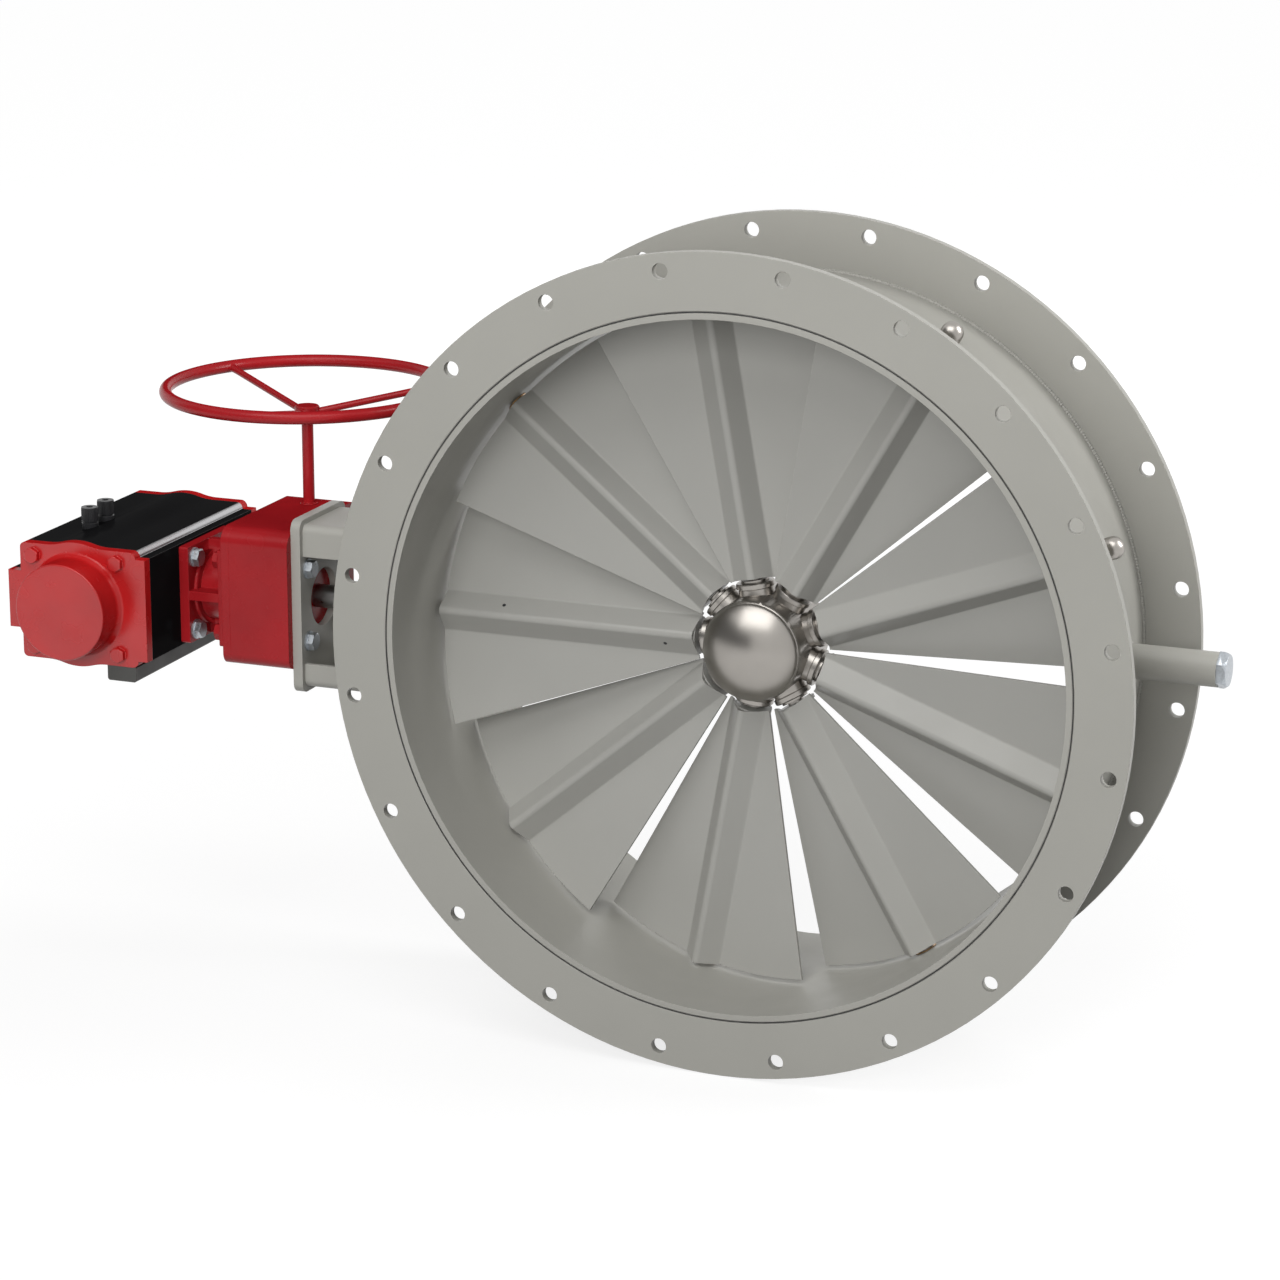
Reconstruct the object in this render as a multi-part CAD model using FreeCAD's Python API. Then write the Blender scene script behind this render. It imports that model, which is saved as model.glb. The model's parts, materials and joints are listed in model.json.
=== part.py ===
import FreeCAD, Part
import math
import os
from FreeCAD import Rotation, Vector

# Volume control damper. Nine radial vanes turn together through bevel gears in the hub,
# driven from one side by a pneumatic actuator with a manual override gearbox.
# The origin is the centre of the inlet flange face, +Y runs into the damper along the duct,
# +Z is up, and the drive shaft leaves the casing towards -X.
# Lengths are in millimetres and angles in degrees.

# Casing and flanges
DUCT_BORE = 800.0
CASING_WALL = 8.0
CASING_LENGTH = 300.0
FLANGE_WIDTH = 67.0
FLANGE_THICKNESS = 10.0
WELD_GROOVE = 1.5
FLANGE_HOLE_FROM_EDGE = 20.0
FLANGE_HOLE_COUNT = 20
FLANGE_HOLE_BORE = 18.0

# Clearances
RUNNING_GAP = 0.05
PUSH_GAP = 0.1
WELD_GAP = 0.2
FACE_GAP = 0.3

# Vanes
VANE_COUNT = 9
DRIVE_DIRECTION = 180.0
REST_OPENING = 12.3
SHEET = 3.0
VANE_ROOT_RADIUS = 79.0
VANE_TIP_GAP = 4.0
VANE_SIDE_GAP_ANGLE = 0.3
VANE_OFFSET = 7.2
RIDGE_HEIGHT = 22.5
RIDGE_SLOPE = 45.0
BEND_RADIUS = 4.0
END_DISC_RADIUS = 22.0
END_DISC_THICKNESS = 4.0
END_DISC_PROUD = 1.0
SADDLE_RADIUS = 21.0
SADDLE_THICKNESS = 10.0
SADDLE_FROM_ROOT = 35.0
SADDLE_FROM_TIP = 78.0

# Vane shafts and their bushes
SHAFT_DIAMETER = 20.0
SPIGOT_DIAMETER = 10.0
SHAFT_HEAD_MARGIN = 3.0
SHAFT_HEAD_LENGTH = 34.0
DRIVE_SHAFT_DIAMETER = 28.0
BUSH_WALL = 3.0
BUSH_RIM = 3.0
BUSH_INSIDE_REACH = 1.0

# Hub
HUB_WALL = 9.0
HUB_LENGTH = 96.0
HUB_CHAMFER = 4.0
BOSS_DIAMETER = 34.0
BOSS_HEIGHT = 13.0
DOME_INSET = 5.0
DOME_RIM = 3.0
DOME_HEIGHT = 25.0
DOME_SHEET = 3.0
DOME_LIP = 6.0
COVER_THICKNESS = 6.0
PIVOT_DIAMETER = 16.0
PIVOT_HEAD_DIAMETER = 24.0
PIVOT_HEAD_THICKNESS = 4.0
PIVOT_BOSS_WALL = 6.0

# Bevel gears in the hub. Addendum, dedendum and tooth half width are in modules and pitches,
# and the tip and root shares are of that half width.
CROWN_TEETH_PER_VANE = 4
PINION_TEETH = 10
GEAR_RADIUS = 42.0
TOOTH_INNER_SHARE = 0.79
PINION_COLLAR = 8.0
BEVEL_TOOTH_SHARE = 0.232
BEVEL_TOOTH_SUNK = 0.6
CROWN_ADDENDUM = 0.75
CROWN_DEDENDUM = 1.21
PINION_ADDENDUM = 0.94
PINION_DEDENDUM = 1.17
PINION_TIP_SHARE = 0.41
PINION_ROOT_SHARE = 0.82
CROWN_RIM_MARGIN = 1.0
CROWN_RIM_CUT = 4.0
CROWN_TOOTH_STEP = 2.0
CROWN_WEB = 11.5
PRESSURE_ANGLE = 20.0

# Side nozzle
NOZZLE_FROM_INLET = 226.0
NOZZLE_DIAMETER = 40.0
NOZZLE_BORE = 32.0
NOZZLE_LENGTH = 104.6
PLUG_ACROSS_FLATS = 37.0
PLUG_HEAD = 11.0
PLUG_CHAMFER = 0.5
PLUG_THREAD_LENGTH = 16.0

# Drive bracket
BRACKET_LENGTH = 151.0
BRACKET_DEPTH = 110.0
BRACKET_HEIGHT = 198.0
BRACKET_WALL = 6.0
BRACKET_CORNER = 10.0
BRACKET_PLATE_THICKNESS = 12.0
BRACKET_PLATE_CORNER = 12.0
BRACKET_PLATE_MARGIN_Y = 7.0
BRACKET_PLATE_MARGIN_Z = 6.0
WINDOW_LENGTH = 129.0
WINDOW_BOTTOM = -70.0
WINDOW_TOP = 61.0

# Coupling on the drive shaft
COUPLING_DIAMETER = 44.0
COUPLING_LENGTH = 60.0
COUPLING_START = 32.0
DRIVE_SHAFT_IN_COUPLING = 45.0
COUPLING_CHAMFER = 2.0
COUPLING_SHAFT_GAP = 1.0

# Square bolt pattern of the actuator interface
INTERFACE_BOLT_CIRCLE = 125.0
BOLT_DIAMETER = 12.0
BOLT_HOLE_DIAMETER = 13.0
BOLT_ACROSS_FLATS = 19.0
BOLT_HEAD = 8.0
BOLT_GRIP = 8.0
WASHER_DIAMETER = 24.0
WASHER_THICKNESS = 2.5
REGISTER_DIAMETER = 70.0
REGISTER_DEPTH = 3.0

# Manual override gearbox
GEARBOX_WIDTH = 77.0
GEARBOX_WALL = 5.0
GEARBOX_FRONT = 73.2
GEARBOX_BACK = 107.0
GEARBOX_TOP = 91.0
GEARBOX_BOTTOM = 76.0
GEARBOX_ROUND_TOP = 20.0
GEARBOX_ROUND_BOTTOM = 14.0
GEARBOX_ROUND_BACK = 3.0
GEARBOX_COVER_THICKNESS = 10.0
GEARBOX_BOSS_DIAMETER = 48.0
GEARBOX_BOSS_LENGTH = 13.0
BOLT_BOSS_WALL = 4.0
STEM_DIAMETER = 28.0
STEM_SQUARE = 20.0
STEM_SQUARE_REACH = 24.0
WORM_MODULE = 3.1
WORM_ADDENDUM = 0.9
WORM_DEDENDUM = 1.1
WORM_THREAD_SUNK = 1.0
WHEEL_TEETH = 40
WHEEL_WIDTH = 18.0
WHEEL_FROM_PLATE = 45.0
WORM_PITCH_RADIUS = 18.0
WORM_TURNS = 4.5
WORM_FACETS = 12
WORM_CORE_LENGTH = 60.0
WORM_BACKLASH = 1.1
WORM_BUSH_LENGTH = 12.0
WORM_SHAFT_DIAMETER = 14.0
WORM_BOSS_DIAMETER = 32.0

# Handwheel
HANDWHEEL_DIAMETER = 352.0
HANDWHEEL_TUBE = 15.0
HANDWHEEL_HEIGHT = 232.4
HANDWHEEL_HUB_DIAMETER = 30.0
HANDWHEEL_HUB_LENGTH = 22.0
HANDWHEEL_HUB_CHAMFER = 1.5
HANDWHEEL_SOCKET = 8.0
HANDWHEEL_DISH = 27.0
SPOKE_DIAMETER = 10.0
SPOKE_START = 4.0
SPOKE_COUNT = 3
FIRST_SPOKE = 30.0

# Spool between the gearbox and the actuator
SPOOL_LENGTH = 63.0
SPOOL_PLATE = 118.0
SPOOL_PLATE_THICKNESS = 12.0
SPOOL_PLATE_CORNER = 3.0
SPOOL_WASHER_GAP = 1.0
SPOOL_BARREL = 80.0
SPOOL_BORE = 46.0
SPOOL_RIB = 11.0
SPOOL_COLLAR_DIAMETER = 92.0
SPOOL_COLLAR_LENGTH = 6.0

# Actuator
ACTUATOR_LENGTH = 290.0
ACTUATOR_FACE_TO_AXIS = 93.0
ACTUATOR_BACK_TO_AXIS = 73.0
ACTUATOR_PAD_THICKNESS = 17.0
ACTUATOR_PAD_HALF_HEIGHT = 35.0
ACTUATOR_HALF_HEIGHT = 70.0
ACTUATOR_SWELL = 5.5
ACTUATOR_SWELL_HALF_WIDTH = 39.0
ACTUATOR_LEDGE = 12.0
ACTUATOR_BEAD = 8.0
ACTUATOR_BACK_ROUND = 6.0
CYLINDER_RADIUS = 56.0
CAP_PLATE_THICKNESS = 13.0
CAP_BOSS_RADIUS = 54.0
CAP_BOSS_HEIGHT = 41.0
CAP_BOSS_FLARE = 10.0
CAP_BOSS_EDGE = 2.0
CAP_CAVITY_RADIUS = 46.0
CAP_CAVITY_DEPTH = 42.0
CAP_SCREW_OFFSET = 55.5
CAP_SCREW_DIAMETER = 10.0
CAP_SCREW_ACROSS_FLATS = 17.0
CAP_SCREW_HEAD = 7.0
CAP_SCREW_POCKET = 13.5
CAP_SCREW_DEPTH = 22.0
RAIL_WIDTH = 38.0
RAIL_FROM_FACE = 15.5
RAIL_HEIGHT = 18.0
RAIL_ROUND = 3.0
FITTING_DIAMETER = 20.0
FITTING_HEIGHT = 26.0
FITTING_FROM_AXIS = 29.0
FITTING_STEM_DIAMETER = 12.0
FITTING_STEM_LENGTH = 10.0
FITTING_NECK = 7.0
FITTING_GROOVE_WIDTH = 2.0
FITTING_GROOVE_DEPTH = 1.5
FITTING_BORE = 8.0
FITTING_OFFSETS = (53.0, 14.0)

# Rack and pinion inside the actuator, with the tooth numbers in modules and pitches as above
RACK_MODULE = 3.0
RACK_PINION_TEETH = 16
RACK_PINION_WIDTH = 28.0
RACK_ADDENDUM = 0.9
RACK_DEDENDUM = 1.2
RACK_TOOTH_SHARE = 0.2335
RACK_PINION_TIP_SHARE = 0.456
RACK_PINION_ROOT_SHARE = 1.09
RACK_TOOTH_COUNT = 7
PISTON_GAP = 0.3
PISTON_THICKNESS = 22.0
PISTON_FROM_CENTRE = 62.0
RACK_ARM_HEIGHT = 14.4
RACK_ARM_WIDTH = 24.0
RACK_ARM_REACH = 42.0
MOUNT_JOURNAL_DIAMETER = 56.0
BACK_JOURNAL_DIAMETER = 30.0
PINION_WAIST_DIAMETER = 38.0
MOUNT_JOURNAL_INSIDE = 4.0
SOCKET_DEPTH = 46.0
INDICATOR_DIAMETER = 20.0
INDICATOR_REACH = 8.0
INDICATOR_SLOT = 3.0

# Worked out from the driving dimensions
SHELL_INNER = DUCT_BORE / 2
SHELL_OUTER = SHELL_INNER + CASING_WALL
FLANGE_RADIUS = SHELL_OUTER + FLANGE_WIDTH
BOLT_CIRCLE_RADIUS = FLANGE_RADIUS - FLANGE_HOLE_FROM_EDGE
SHAFT_PLANE = CASING_LENGTH / 2
HUB_CENTRE = Vector(0, SHAFT_PLANE, 0)
VANE_PITCH = 360.0 / VANE_COUNT
VANE_TIP_RADIUS = SHELL_INNER - VANE_TIP_GAP
SHAFT_RADIUS = SHAFT_DIAMETER / 2
BUSH_BORE_RADIUS = SHAFT_RADIUS + RUNNING_GAP
BUSH_RADIUS = BUSH_BORE_RADIUS + BUSH_WALL
BUSH_END = SHELL_OUTER + FACE_GAP + BUSH_RIM
SHAFT_HEAD_START = BUSH_END + FACE_GAP
HUB_CAVITY_RADIUS = GEAR_RADIUS + PINION_COLLAR
HUB_RADIUS = HUB_CAVITY_RADIUS + HUB_WALL
BOSS_END = HUB_RADIUS + BOSS_HEIGHT
HUB_FRONT = SHAFT_PLANE - HUB_LENGTH / 2
HUB_BACK = SHAFT_PLANE + HUB_LENGTH / 2
CROWN_TEETH = CROWN_TEETH_PER_VANE * VANE_COUNT
BEVEL_MODULE = 2 * GEAR_RADIUS / CROWN_TEETH
PINION_PITCH_RADIUS = BEVEL_MODULE * PINION_TEETH / 2
PLATE_INNER = SHELL_OUTER + BRACKET_LENGTH
PLATE_OUTER = PLATE_INNER + BRACKET_PLATE_THICKNESS
BOX_END = PLATE_OUTER + GEARBOX_WIDTH
COVER_END = BOX_END + GEARBOX_COVER_THICKNESS
MOUNT_FACE = COVER_END + SPOOL_LENGTH
CYLINDER_AXIS = MOUNT_FACE + ACTUATOR_FACE_TO_AXIS
BODY_HALF_LENGTH = ACTUATOR_LENGTH / 2 - CAP_PLATE_THICKNESS
BOLT_OFFSET = INTERFACE_BOLT_CIRCLE / 2 / math.sqrt(2)
WHEEL_RADIUS = WORM_MODULE * WHEEL_TEETH / 2
WORM_LEAD = math.pi * WORM_MODULE
WORM_AXIS_X = -(PLATE_OUTER + WHEEL_FROM_PLATE)
WORM_AXIS_Y = SHAFT_PLANE + WHEEL_RADIUS + WORM_PITCH_RADIUS
RACK_PITCH_RADIUS = RACK_MODULE * RACK_PINION_TEETH / 2
RACK_ROOT_HEIGHT = RACK_PITCH_RADIUS + RACK_DEDENDUM * RACK_MODULE
FLANK_SLOPE = math.tan(math.radians(PRESSURE_ANGLE))


def axis_point(distance, z=0.0):
    """Point on the drive side, at a distance from the duct axis."""
    return Vector(-distance, SHAFT_PLANE, z)


def rod(radius, start, end):
    """Round bar between two points."""
    along = end - start
    return Part.makeCylinder(radius, along.Length, start, along)


def hexagon_bar(across_flats, start, end):
    """Six-sided bar between two points."""
    radius = across_flats / math.sqrt(3)
    corners = [Vector(radius, 0, 0)]
    for step in range(1, 6):
        turn = math.radians(60 * step)
        corners.append(Vector(radius * math.cos(turn), radius * math.sin(turn), 0))
    along = end - start
    bar = flat_face(corners).extrude(Vector(0, 0, along.Length))
    bar.Placement = FreeCAD.Placement(start, Rotation(Vector(0, 0, 1), along))
    return bar


def flat_face(points):
    """Flat face with straight edges through the points."""
    return Part.Face(Part.makePolygon(list(points) + [points[0]]))


def block(low, high):
    """Rectangular block between two opposite corners."""
    size = high - low
    return Part.makeBox(size.x, size.y, size.z, low)


def rounded_wire(points, radii):
    """Closed outline with a tangent arc at each corner that has a radius."""
    corners = []
    for index, point in enumerate(points):
        to_before = (points[index - 1] - point).normalize()
        to_after = (points[(index + 1) % len(points)] - point).normalize()
        half = to_before.getAngle(to_after) / 2
        radius = radii[index]
        start = point + to_before * (radius / math.tan(half))
        end = point + to_after * (radius / math.tan(half))
        inward = (to_before + to_after).normalize()
        middle = point + inward * (radius / math.sin(half) - radius)
        corners.append((start, middle, end))
    edges = []
    for index, (start, middle, end) in enumerate(corners):
        if radii[index] > 0:
            edges.append(Part.Arc(start, middle, end).toShape())
        following = corners[(index + 1) % len(corners)][0]
        if (following - end).Length > 1e-6:
            edges.append(Part.LineSegment(end, following).toShape())
    return Part.Wire(edges)


def rounded_bar(x_start, x_end, y_range, z_range, radii):
    """Bar along X with a rounded rectangular section.

    The radii go round from the corner at low Y and low Z: low Z then rising Y first.
    """
    (y_low, y_high), (z_low, z_high) = y_range, z_range
    points = [
        Vector(x_start, y_low, z_low),
        Vector(x_start, y_high, z_low),
        Vector(x_start, y_high, z_high),
        Vector(x_start, y_low, z_high),
    ]
    return Part.Face(rounded_wire(points, radii)).extrude(Vector(x_end - x_start, 0, 0))


def turned_about_y(outline):
    """Solid of revolution about the duct axis, from (radius, y) points."""
    face = flat_face([Vector(radius, y, 0) for radius, y in outline])
    return face.revolve(Vector(0, 0, 0), Vector(0, 1, 0), 360)


def turned_about_shaft(outline):
    """Solid of revolution about the +X shaft axis, from (distance, radius) points."""
    face = flat_face([Vector(distance, SHAFT_PLANE + radius, 0) for distance, radius in outline])
    return face.revolve(HUB_CENTRE, Vector(1, 0, 0), 360)


def closed_solid(faces):
    """Solid inside a closed set of faces."""
    shell = Part.makeShell(faces)
    shell.sewShape()
    solid = Part.makeSolid(shell)
    if solid.Volume < 0:
        solid.reverse()
    return solid


def vane_direction(index):
    """Direction of a vane shaft round the duct, seen from the inlet."""
    return DRIVE_DIRECTION - VANE_PITCH * index


def turn_to_vane(shape, index):
    """Copy of a piece built along +X, turned to its own vane direction."""
    turned = shape.copy()
    turned.rotate(Vector(0, 0, 0), Vector(0, 1, 0), -vane_direction(index))
    return turned


def make_casing_shell():
    outer_chamfer = SHELL_OUTER - WELD_GROOVE
    shell = turned_about_y([
        (SHELL_INNER, 0),
        (outer_chamfer, 0),
        (SHELL_OUTER, WELD_GROOVE),
        (SHELL_OUTER, CASING_LENGTH - WELD_GROOVE),
        (outer_chamfer, CASING_LENGTH),
        (SHELL_INNER, CASING_LENGTH),
    ])
    bore = rod(BUSH_RADIUS + PUSH_GAP, Vector(SHELL_INNER / 2, SHAFT_PLANE, 0),
               Vector(FLANGE_RADIUS, SHAFT_PLANE, 0))
    cuts = [turn_to_vane(bore, index) for index in range(VANE_COUNT)]
    cuts.append(rod(NOZZLE_BORE / 2, Vector(SHELL_INNER / 2, NOZZLE_FROM_INLET, 0),
                    Vector(FLANGE_RADIUS, NOZZLE_FROM_INLET, 0)))
    return shell.cut(cuts)


def make_flange(outer_face, inner_face):
    """Flange ring with its weld groove on the outer face."""
    bore = SHELL_OUTER + WELD_GAP
    inward = 1 if inner_face > outer_face else -1
    ring = turned_about_y([
        (bore + WELD_GROOVE, outer_face),
        (FLANGE_RADIUS, outer_face),
        (FLANGE_RADIUS, inner_face),
        (bore, inner_face),
        (bore, outer_face + inward * WELD_GROOVE),
    ])
    holes = []
    for index in range(FLANGE_HOLE_COUNT):
        turn = math.radians((index + 0.5) * 360.0 / FLANGE_HOLE_COUNT)
        x = BOLT_CIRCLE_RADIUS * math.sin(turn)
        z = BOLT_CIRCLE_RADIUS * math.cos(turn)
        holes.append(rod(FLANGE_HOLE_BORE / 2, Vector(x, outer_face - inward, z),
                         Vector(x, inner_face + inward, z)))
    return ring.cut(holes)


def make_vane_sheet():
    """Folded sheet metal vane along +X, flat part square to the duct when closed."""
    half_width = VANE_TIP_RADIUS * math.sin(math.radians(VANE_PITCH / 2)) + RIDGE_HEIGHT / 2
    flat_turn = math.tan(math.radians(RIDGE_SLOPE / 2)) * SHEET / 2
    ridge_turn = SHEET / 2 / math.cos(math.radians(RIDGE_SLOPE))
    lower = VANE_OFFSET - SHEET / 2
    upper = VANE_OFFSET + SHEET / 2
    peak = VANE_OFFSET + RIDGE_HEIGHT
    half_profile = [
        (half_width, lower, 0.0),
        (half_width, upper, 0.0),
        (RIDGE_HEIGHT + flat_turn, upper, BEND_RADIUS),
        (0.0, peak + ridge_turn, BEND_RADIUS + SHEET),
    ]
    low_half = [
        (0.0, peak - ridge_turn, BEND_RADIUS),
        (RIDGE_HEIGHT - flat_turn, lower, BEND_RADIUS + SHEET),
    ]
    mirrored_top = [(-t, n, r) for t, n, r in reversed(half_profile[:3])]
    mirrored_low = [(-low_half[1][0], low_half[1][1], low_half[1][2])]
    profile = half_profile + mirrored_top + mirrored_low + low_half
    points = [Vector(0, SHAFT_PLANE - n, t) for t, n, r in profile]
    wire = rounded_wire(points, [r for t, n, r in profile])
    return Part.Face(wire).extrude(Vector(DUCT_BORE / 2, 0, 0))


def make_vane_sector():
    """Slab with the outline of one vane between two radii."""
    half_angle = math.radians(VANE_PITCH / 2 - VANE_SIDE_GAP_ANGLE)
    near = SHAFT_PLANE - VANE_OFFSET - 2 * RIDGE_HEIGHT

    def at(radius, angle):
        return Vector(radius * math.cos(angle), near, radius * math.sin(angle))

    edges = [
        Part.Arc(at(VANE_TIP_RADIUS, -half_angle), at(VANE_TIP_RADIUS, 0),
                 at(VANE_TIP_RADIUS, half_angle)).toShape(),
        Part.LineSegment(at(VANE_TIP_RADIUS, half_angle), at(VANE_ROOT_RADIUS, half_angle)).toShape(),
        Part.Arc(at(VANE_ROOT_RADIUS, half_angle), at(VANE_ROOT_RADIUS, 0),
                 at(VANE_ROOT_RADIUS, -half_angle)).toShape(),
        Part.LineSegment(at(VANE_ROOT_RADIUS, -half_angle), at(VANE_TIP_RADIUS, -half_angle)).toShape(),
    ]
    return Part.Face(Part.Wire(edges)).extrude(Vector(0, 3 * RIDGE_HEIGHT, 0))


def shaft_point(distance):
    """Point on the +X shaft axis."""
    return Vector(distance, SHAFT_PLANE, 0)


def make_vane():
    """Vane with its inner end disc and two saddles, bored for the shaft."""
    sheet = make_vane_sheet().common(make_vane_sector())
    disc_start = VANE_ROOT_RADIUS - END_DISC_PROUD
    disc = rod(END_DISC_RADIUS, shaft_point(disc_start), shaft_point(disc_start + END_DISC_THICKNESS))
    saddles = []
    for middle in (VANE_ROOT_RADIUS + SADDLE_FROM_ROOT, VANE_TIP_RADIUS - SADDLE_FROM_TIP):
        saddles.append(rod(SADDLE_RADIUS, shaft_point(middle - SADDLE_THICKNESS / 2),
                           shaft_point(middle + SADDLE_THICKNESS / 2)))
    vane = sheet.fuse([disc] + saddles)
    vane = vane.cut(rod(SHAFT_RADIUS + RUNNING_GAP, shaft_point(0), shaft_point(SHELL_INNER)))
    vane.rotate(HUB_CENTRE, Vector(1, 0, 0), REST_OPENING)
    return vane


def make_vane_shaft():
    """Vane shaft with the spigot for its pinion and a domed outer head."""
    spigot = SPIGOT_DIAMETER / 2
    head = SHAFT_RADIUS + SHAFT_HEAD_MARGIN
    dome_start = SHAFT_HEAD_START + SHAFT_HEAD_LENGTH - head
    outline = [
        (GEAR_RADIUS * TOOTH_INNER_SHARE, 0),
        (GEAR_RADIUS * TOOTH_INNER_SHARE, spigot),
        (HUB_CAVITY_RADIUS, spigot),
        (HUB_CAVITY_RADIUS, SHAFT_RADIUS),
        (SHAFT_HEAD_START, SHAFT_RADIUS),
        (SHAFT_HEAD_START, head),
        (dome_start, head),
        (dome_start, 0),
    ]
    dome = Part.makeSphere(head, shaft_point(dome_start), Vector(1, 0, 0), 0, 90, 360)
    return turned_about_shaft(outline).fuse(dome).removeSplitter()


def make_drive_shaft():
    """Shaft of the driven vane, thicker outside the casing where the coupling holds it."""
    spigot = SPIGOT_DIAMETER / 2
    thick = DRIVE_SHAFT_DIAMETER / 2
    end = SHELL_OUTER + COUPLING_START + DRIVE_SHAFT_IN_COUPLING
    return turned_about_shaft([
        (GEAR_RADIUS * TOOTH_INNER_SHARE, 0),
        (GEAR_RADIUS * TOOTH_INNER_SHARE, spigot),
        (HUB_CAVITY_RADIUS, spigot),
        (HUB_CAVITY_RADIUS, SHAFT_RADIUS),
        (SHAFT_HEAD_START, SHAFT_RADIUS),
        (SHAFT_HEAD_START, thick),
        (end, thick),
        (end, 0),
    ])


def make_bush(start, rim_start, rim_end):
    """Flanged bush round the shaft, with its rim on the outer side."""
    return turned_about_shaft([
        (start, BUSH_BORE_RADIUS),
        (start, BUSH_RADIUS),
        (rim_start, BUSH_RADIUS),
        (rim_start, BUSH_RADIUS + BUSH_RIM),
        (rim_end, BUSH_RADIUS + BUSH_RIM),
        (rim_end, BUSH_BORE_RADIUS),
    ])


def make_bush_set(bush):
    """One bush at each vane direction."""
    return Part.makeCompound([turn_to_vane(bush, index) for index in range(VANE_COUNT)])


def make_hub_body():
    body = turned_about_y([
        (HUB_CAVITY_RADIUS, HUB_FRONT),
        (HUB_RADIUS - HUB_CHAMFER, HUB_FRONT),
        (HUB_RADIUS, HUB_FRONT + HUB_CHAMFER),
        (HUB_RADIUS, HUB_BACK),
        (HUB_CAVITY_RADIUS, HUB_BACK),
    ])
    boss = rod(BOSS_DIAMETER / 2, shaft_point(HUB_CAVITY_RADIUS + HUB_WALL / 2), shaft_point(BOSS_END))
    bore = rod(BUSH_RADIUS + PUSH_GAP, shaft_point(GEAR_RADIUS), shaft_point(BOSS_END + 1))
    bosses = [turn_to_vane(boss, index) for index in range(VANE_COUNT)]
    bores = [turn_to_vane(bore, index) for index in range(VANE_COUNT)]
    return body.fuse(bosses).cut(bores)


def make_hub_dome():
    """Hollow front dome with a rim on the hub face and a lip inside the hub."""
    rim_radius = HUB_RADIUS - DOME_INSET
    rim_front = HUB_FRONT - DOME_RIM
    lip_radius = HUB_CAVITY_RADIUS - WELD_GAP
    lip_back = HUB_FRONT + DOME_LIP
    apex = rim_front - DOME_HEIGHT
    inner_apex = apex + DOME_SHEET
    inner_radius = lip_radius - DOME_SHEET

    def point(radius, y):
        return Vector(radius, y, 0)

    def bulge(edge_radius, edge_y, top_y):
        """Point halfway along the round of the dome."""
        rise = edge_y - top_y
        ball = (edge_radius ** 2 + rise ** 2) / (2 * rise)
        half = math.asin(edge_radius / ball) / 2
        return point(ball * math.sin(half), top_y + ball * (1 - math.cos(half)))

    edges = [
        Part.Arc(point(0, apex), bulge(rim_radius, rim_front, apex), point(rim_radius, rim_front)).toShape(),
        Part.LineSegment(point(rim_radius, rim_front), point(rim_radius, HUB_FRONT)).toShape(),
        Part.LineSegment(point(rim_radius, HUB_FRONT), point(lip_radius, HUB_FRONT)).toShape(),
        Part.LineSegment(point(lip_radius, HUB_FRONT), point(lip_radius, lip_back)).toShape(),
        Part.LineSegment(point(lip_radius, lip_back), point(inner_radius, lip_back)).toShape(),
        Part.LineSegment(point(inner_radius, lip_back), point(inner_radius, HUB_FRONT)).toShape(),
        Part.Arc(point(inner_radius, HUB_FRONT), bulge(inner_radius, HUB_FRONT, inner_apex),
                 point(0, inner_apex)).toShape(),
        Part.LineSegment(point(0, inner_apex), point(0, apex)).toShape(),
    ]
    return Part.Face(Part.Wire(edges)).revolve(Vector(0, 0, 0), Vector(0, 1, 0), 360)


def crown_heights():
    """Heights of the crown from the shaft plane at its outer radius: tip, root and back."""
    addendum = CROWN_ADDENDUM * BEVEL_MODULE
    dedendum = CROWN_DEDENDUM * BEVEL_MODULE
    tip = PINION_PITCH_RADIUS - addendum
    root = PINION_PITCH_RADIUS + dedendum
    return tip, root, root + CROWN_WEB


def make_hub_cover():
    """Rear cover with the boss that carries the crown gear's pivot."""
    tip, root, back = crown_heights()
    pivot = PIVOT_DIAMETER / 2 + RUNNING_GAP
    boss_front = SHAFT_PLANE + back + FACE_GAP
    return turned_about_y([
        (pivot, boss_front),
        (pivot + PIVOT_BOSS_WALL, boss_front),
        (pivot + PIVOT_BOSS_WALL, HUB_BACK),
        (HUB_RADIUS, HUB_BACK),
        (HUB_RADIUS, HUB_BACK + COVER_THICKNESS),
        (pivot, HUB_BACK + COVER_THICKNESS),
    ])


def make_crown_pivot():
    """Shoulder screw through the crown gear into the rear cover."""
    tip, root, back = crown_heights()
    head_back = SHAFT_PLANE + root - FACE_GAP
    return turned_about_y([
        (0, head_back - PIVOT_HEAD_THICKNESS),
        (PIVOT_HEAD_DIAMETER / 2, head_back - PIVOT_HEAD_THICKNESS),
        (PIVOT_HEAD_DIAMETER / 2, head_back),
        (PIVOT_DIAMETER / 2, head_back),
        (PIVOT_DIAMETER / 2, HUB_BACK + COVER_THICKNESS),
        (0, HUB_BACK + COVER_THICKNESS),
    ])


def tooth_to_centre(section):
    """Straight bevel tooth that runs from its outer section towards the hub centre."""
    inner = [HUB_CENTRE + (point - HUB_CENTRE) * TOOTH_INNER_SHARE for point in section]
    faces = [flat_face(section), flat_face(inner)]
    for index in range(len(section)):
        faces.append(flat_face([section[index - 1], section[index], inner[index], inner[index - 1]]))
    return closed_solid(faces)


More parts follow.
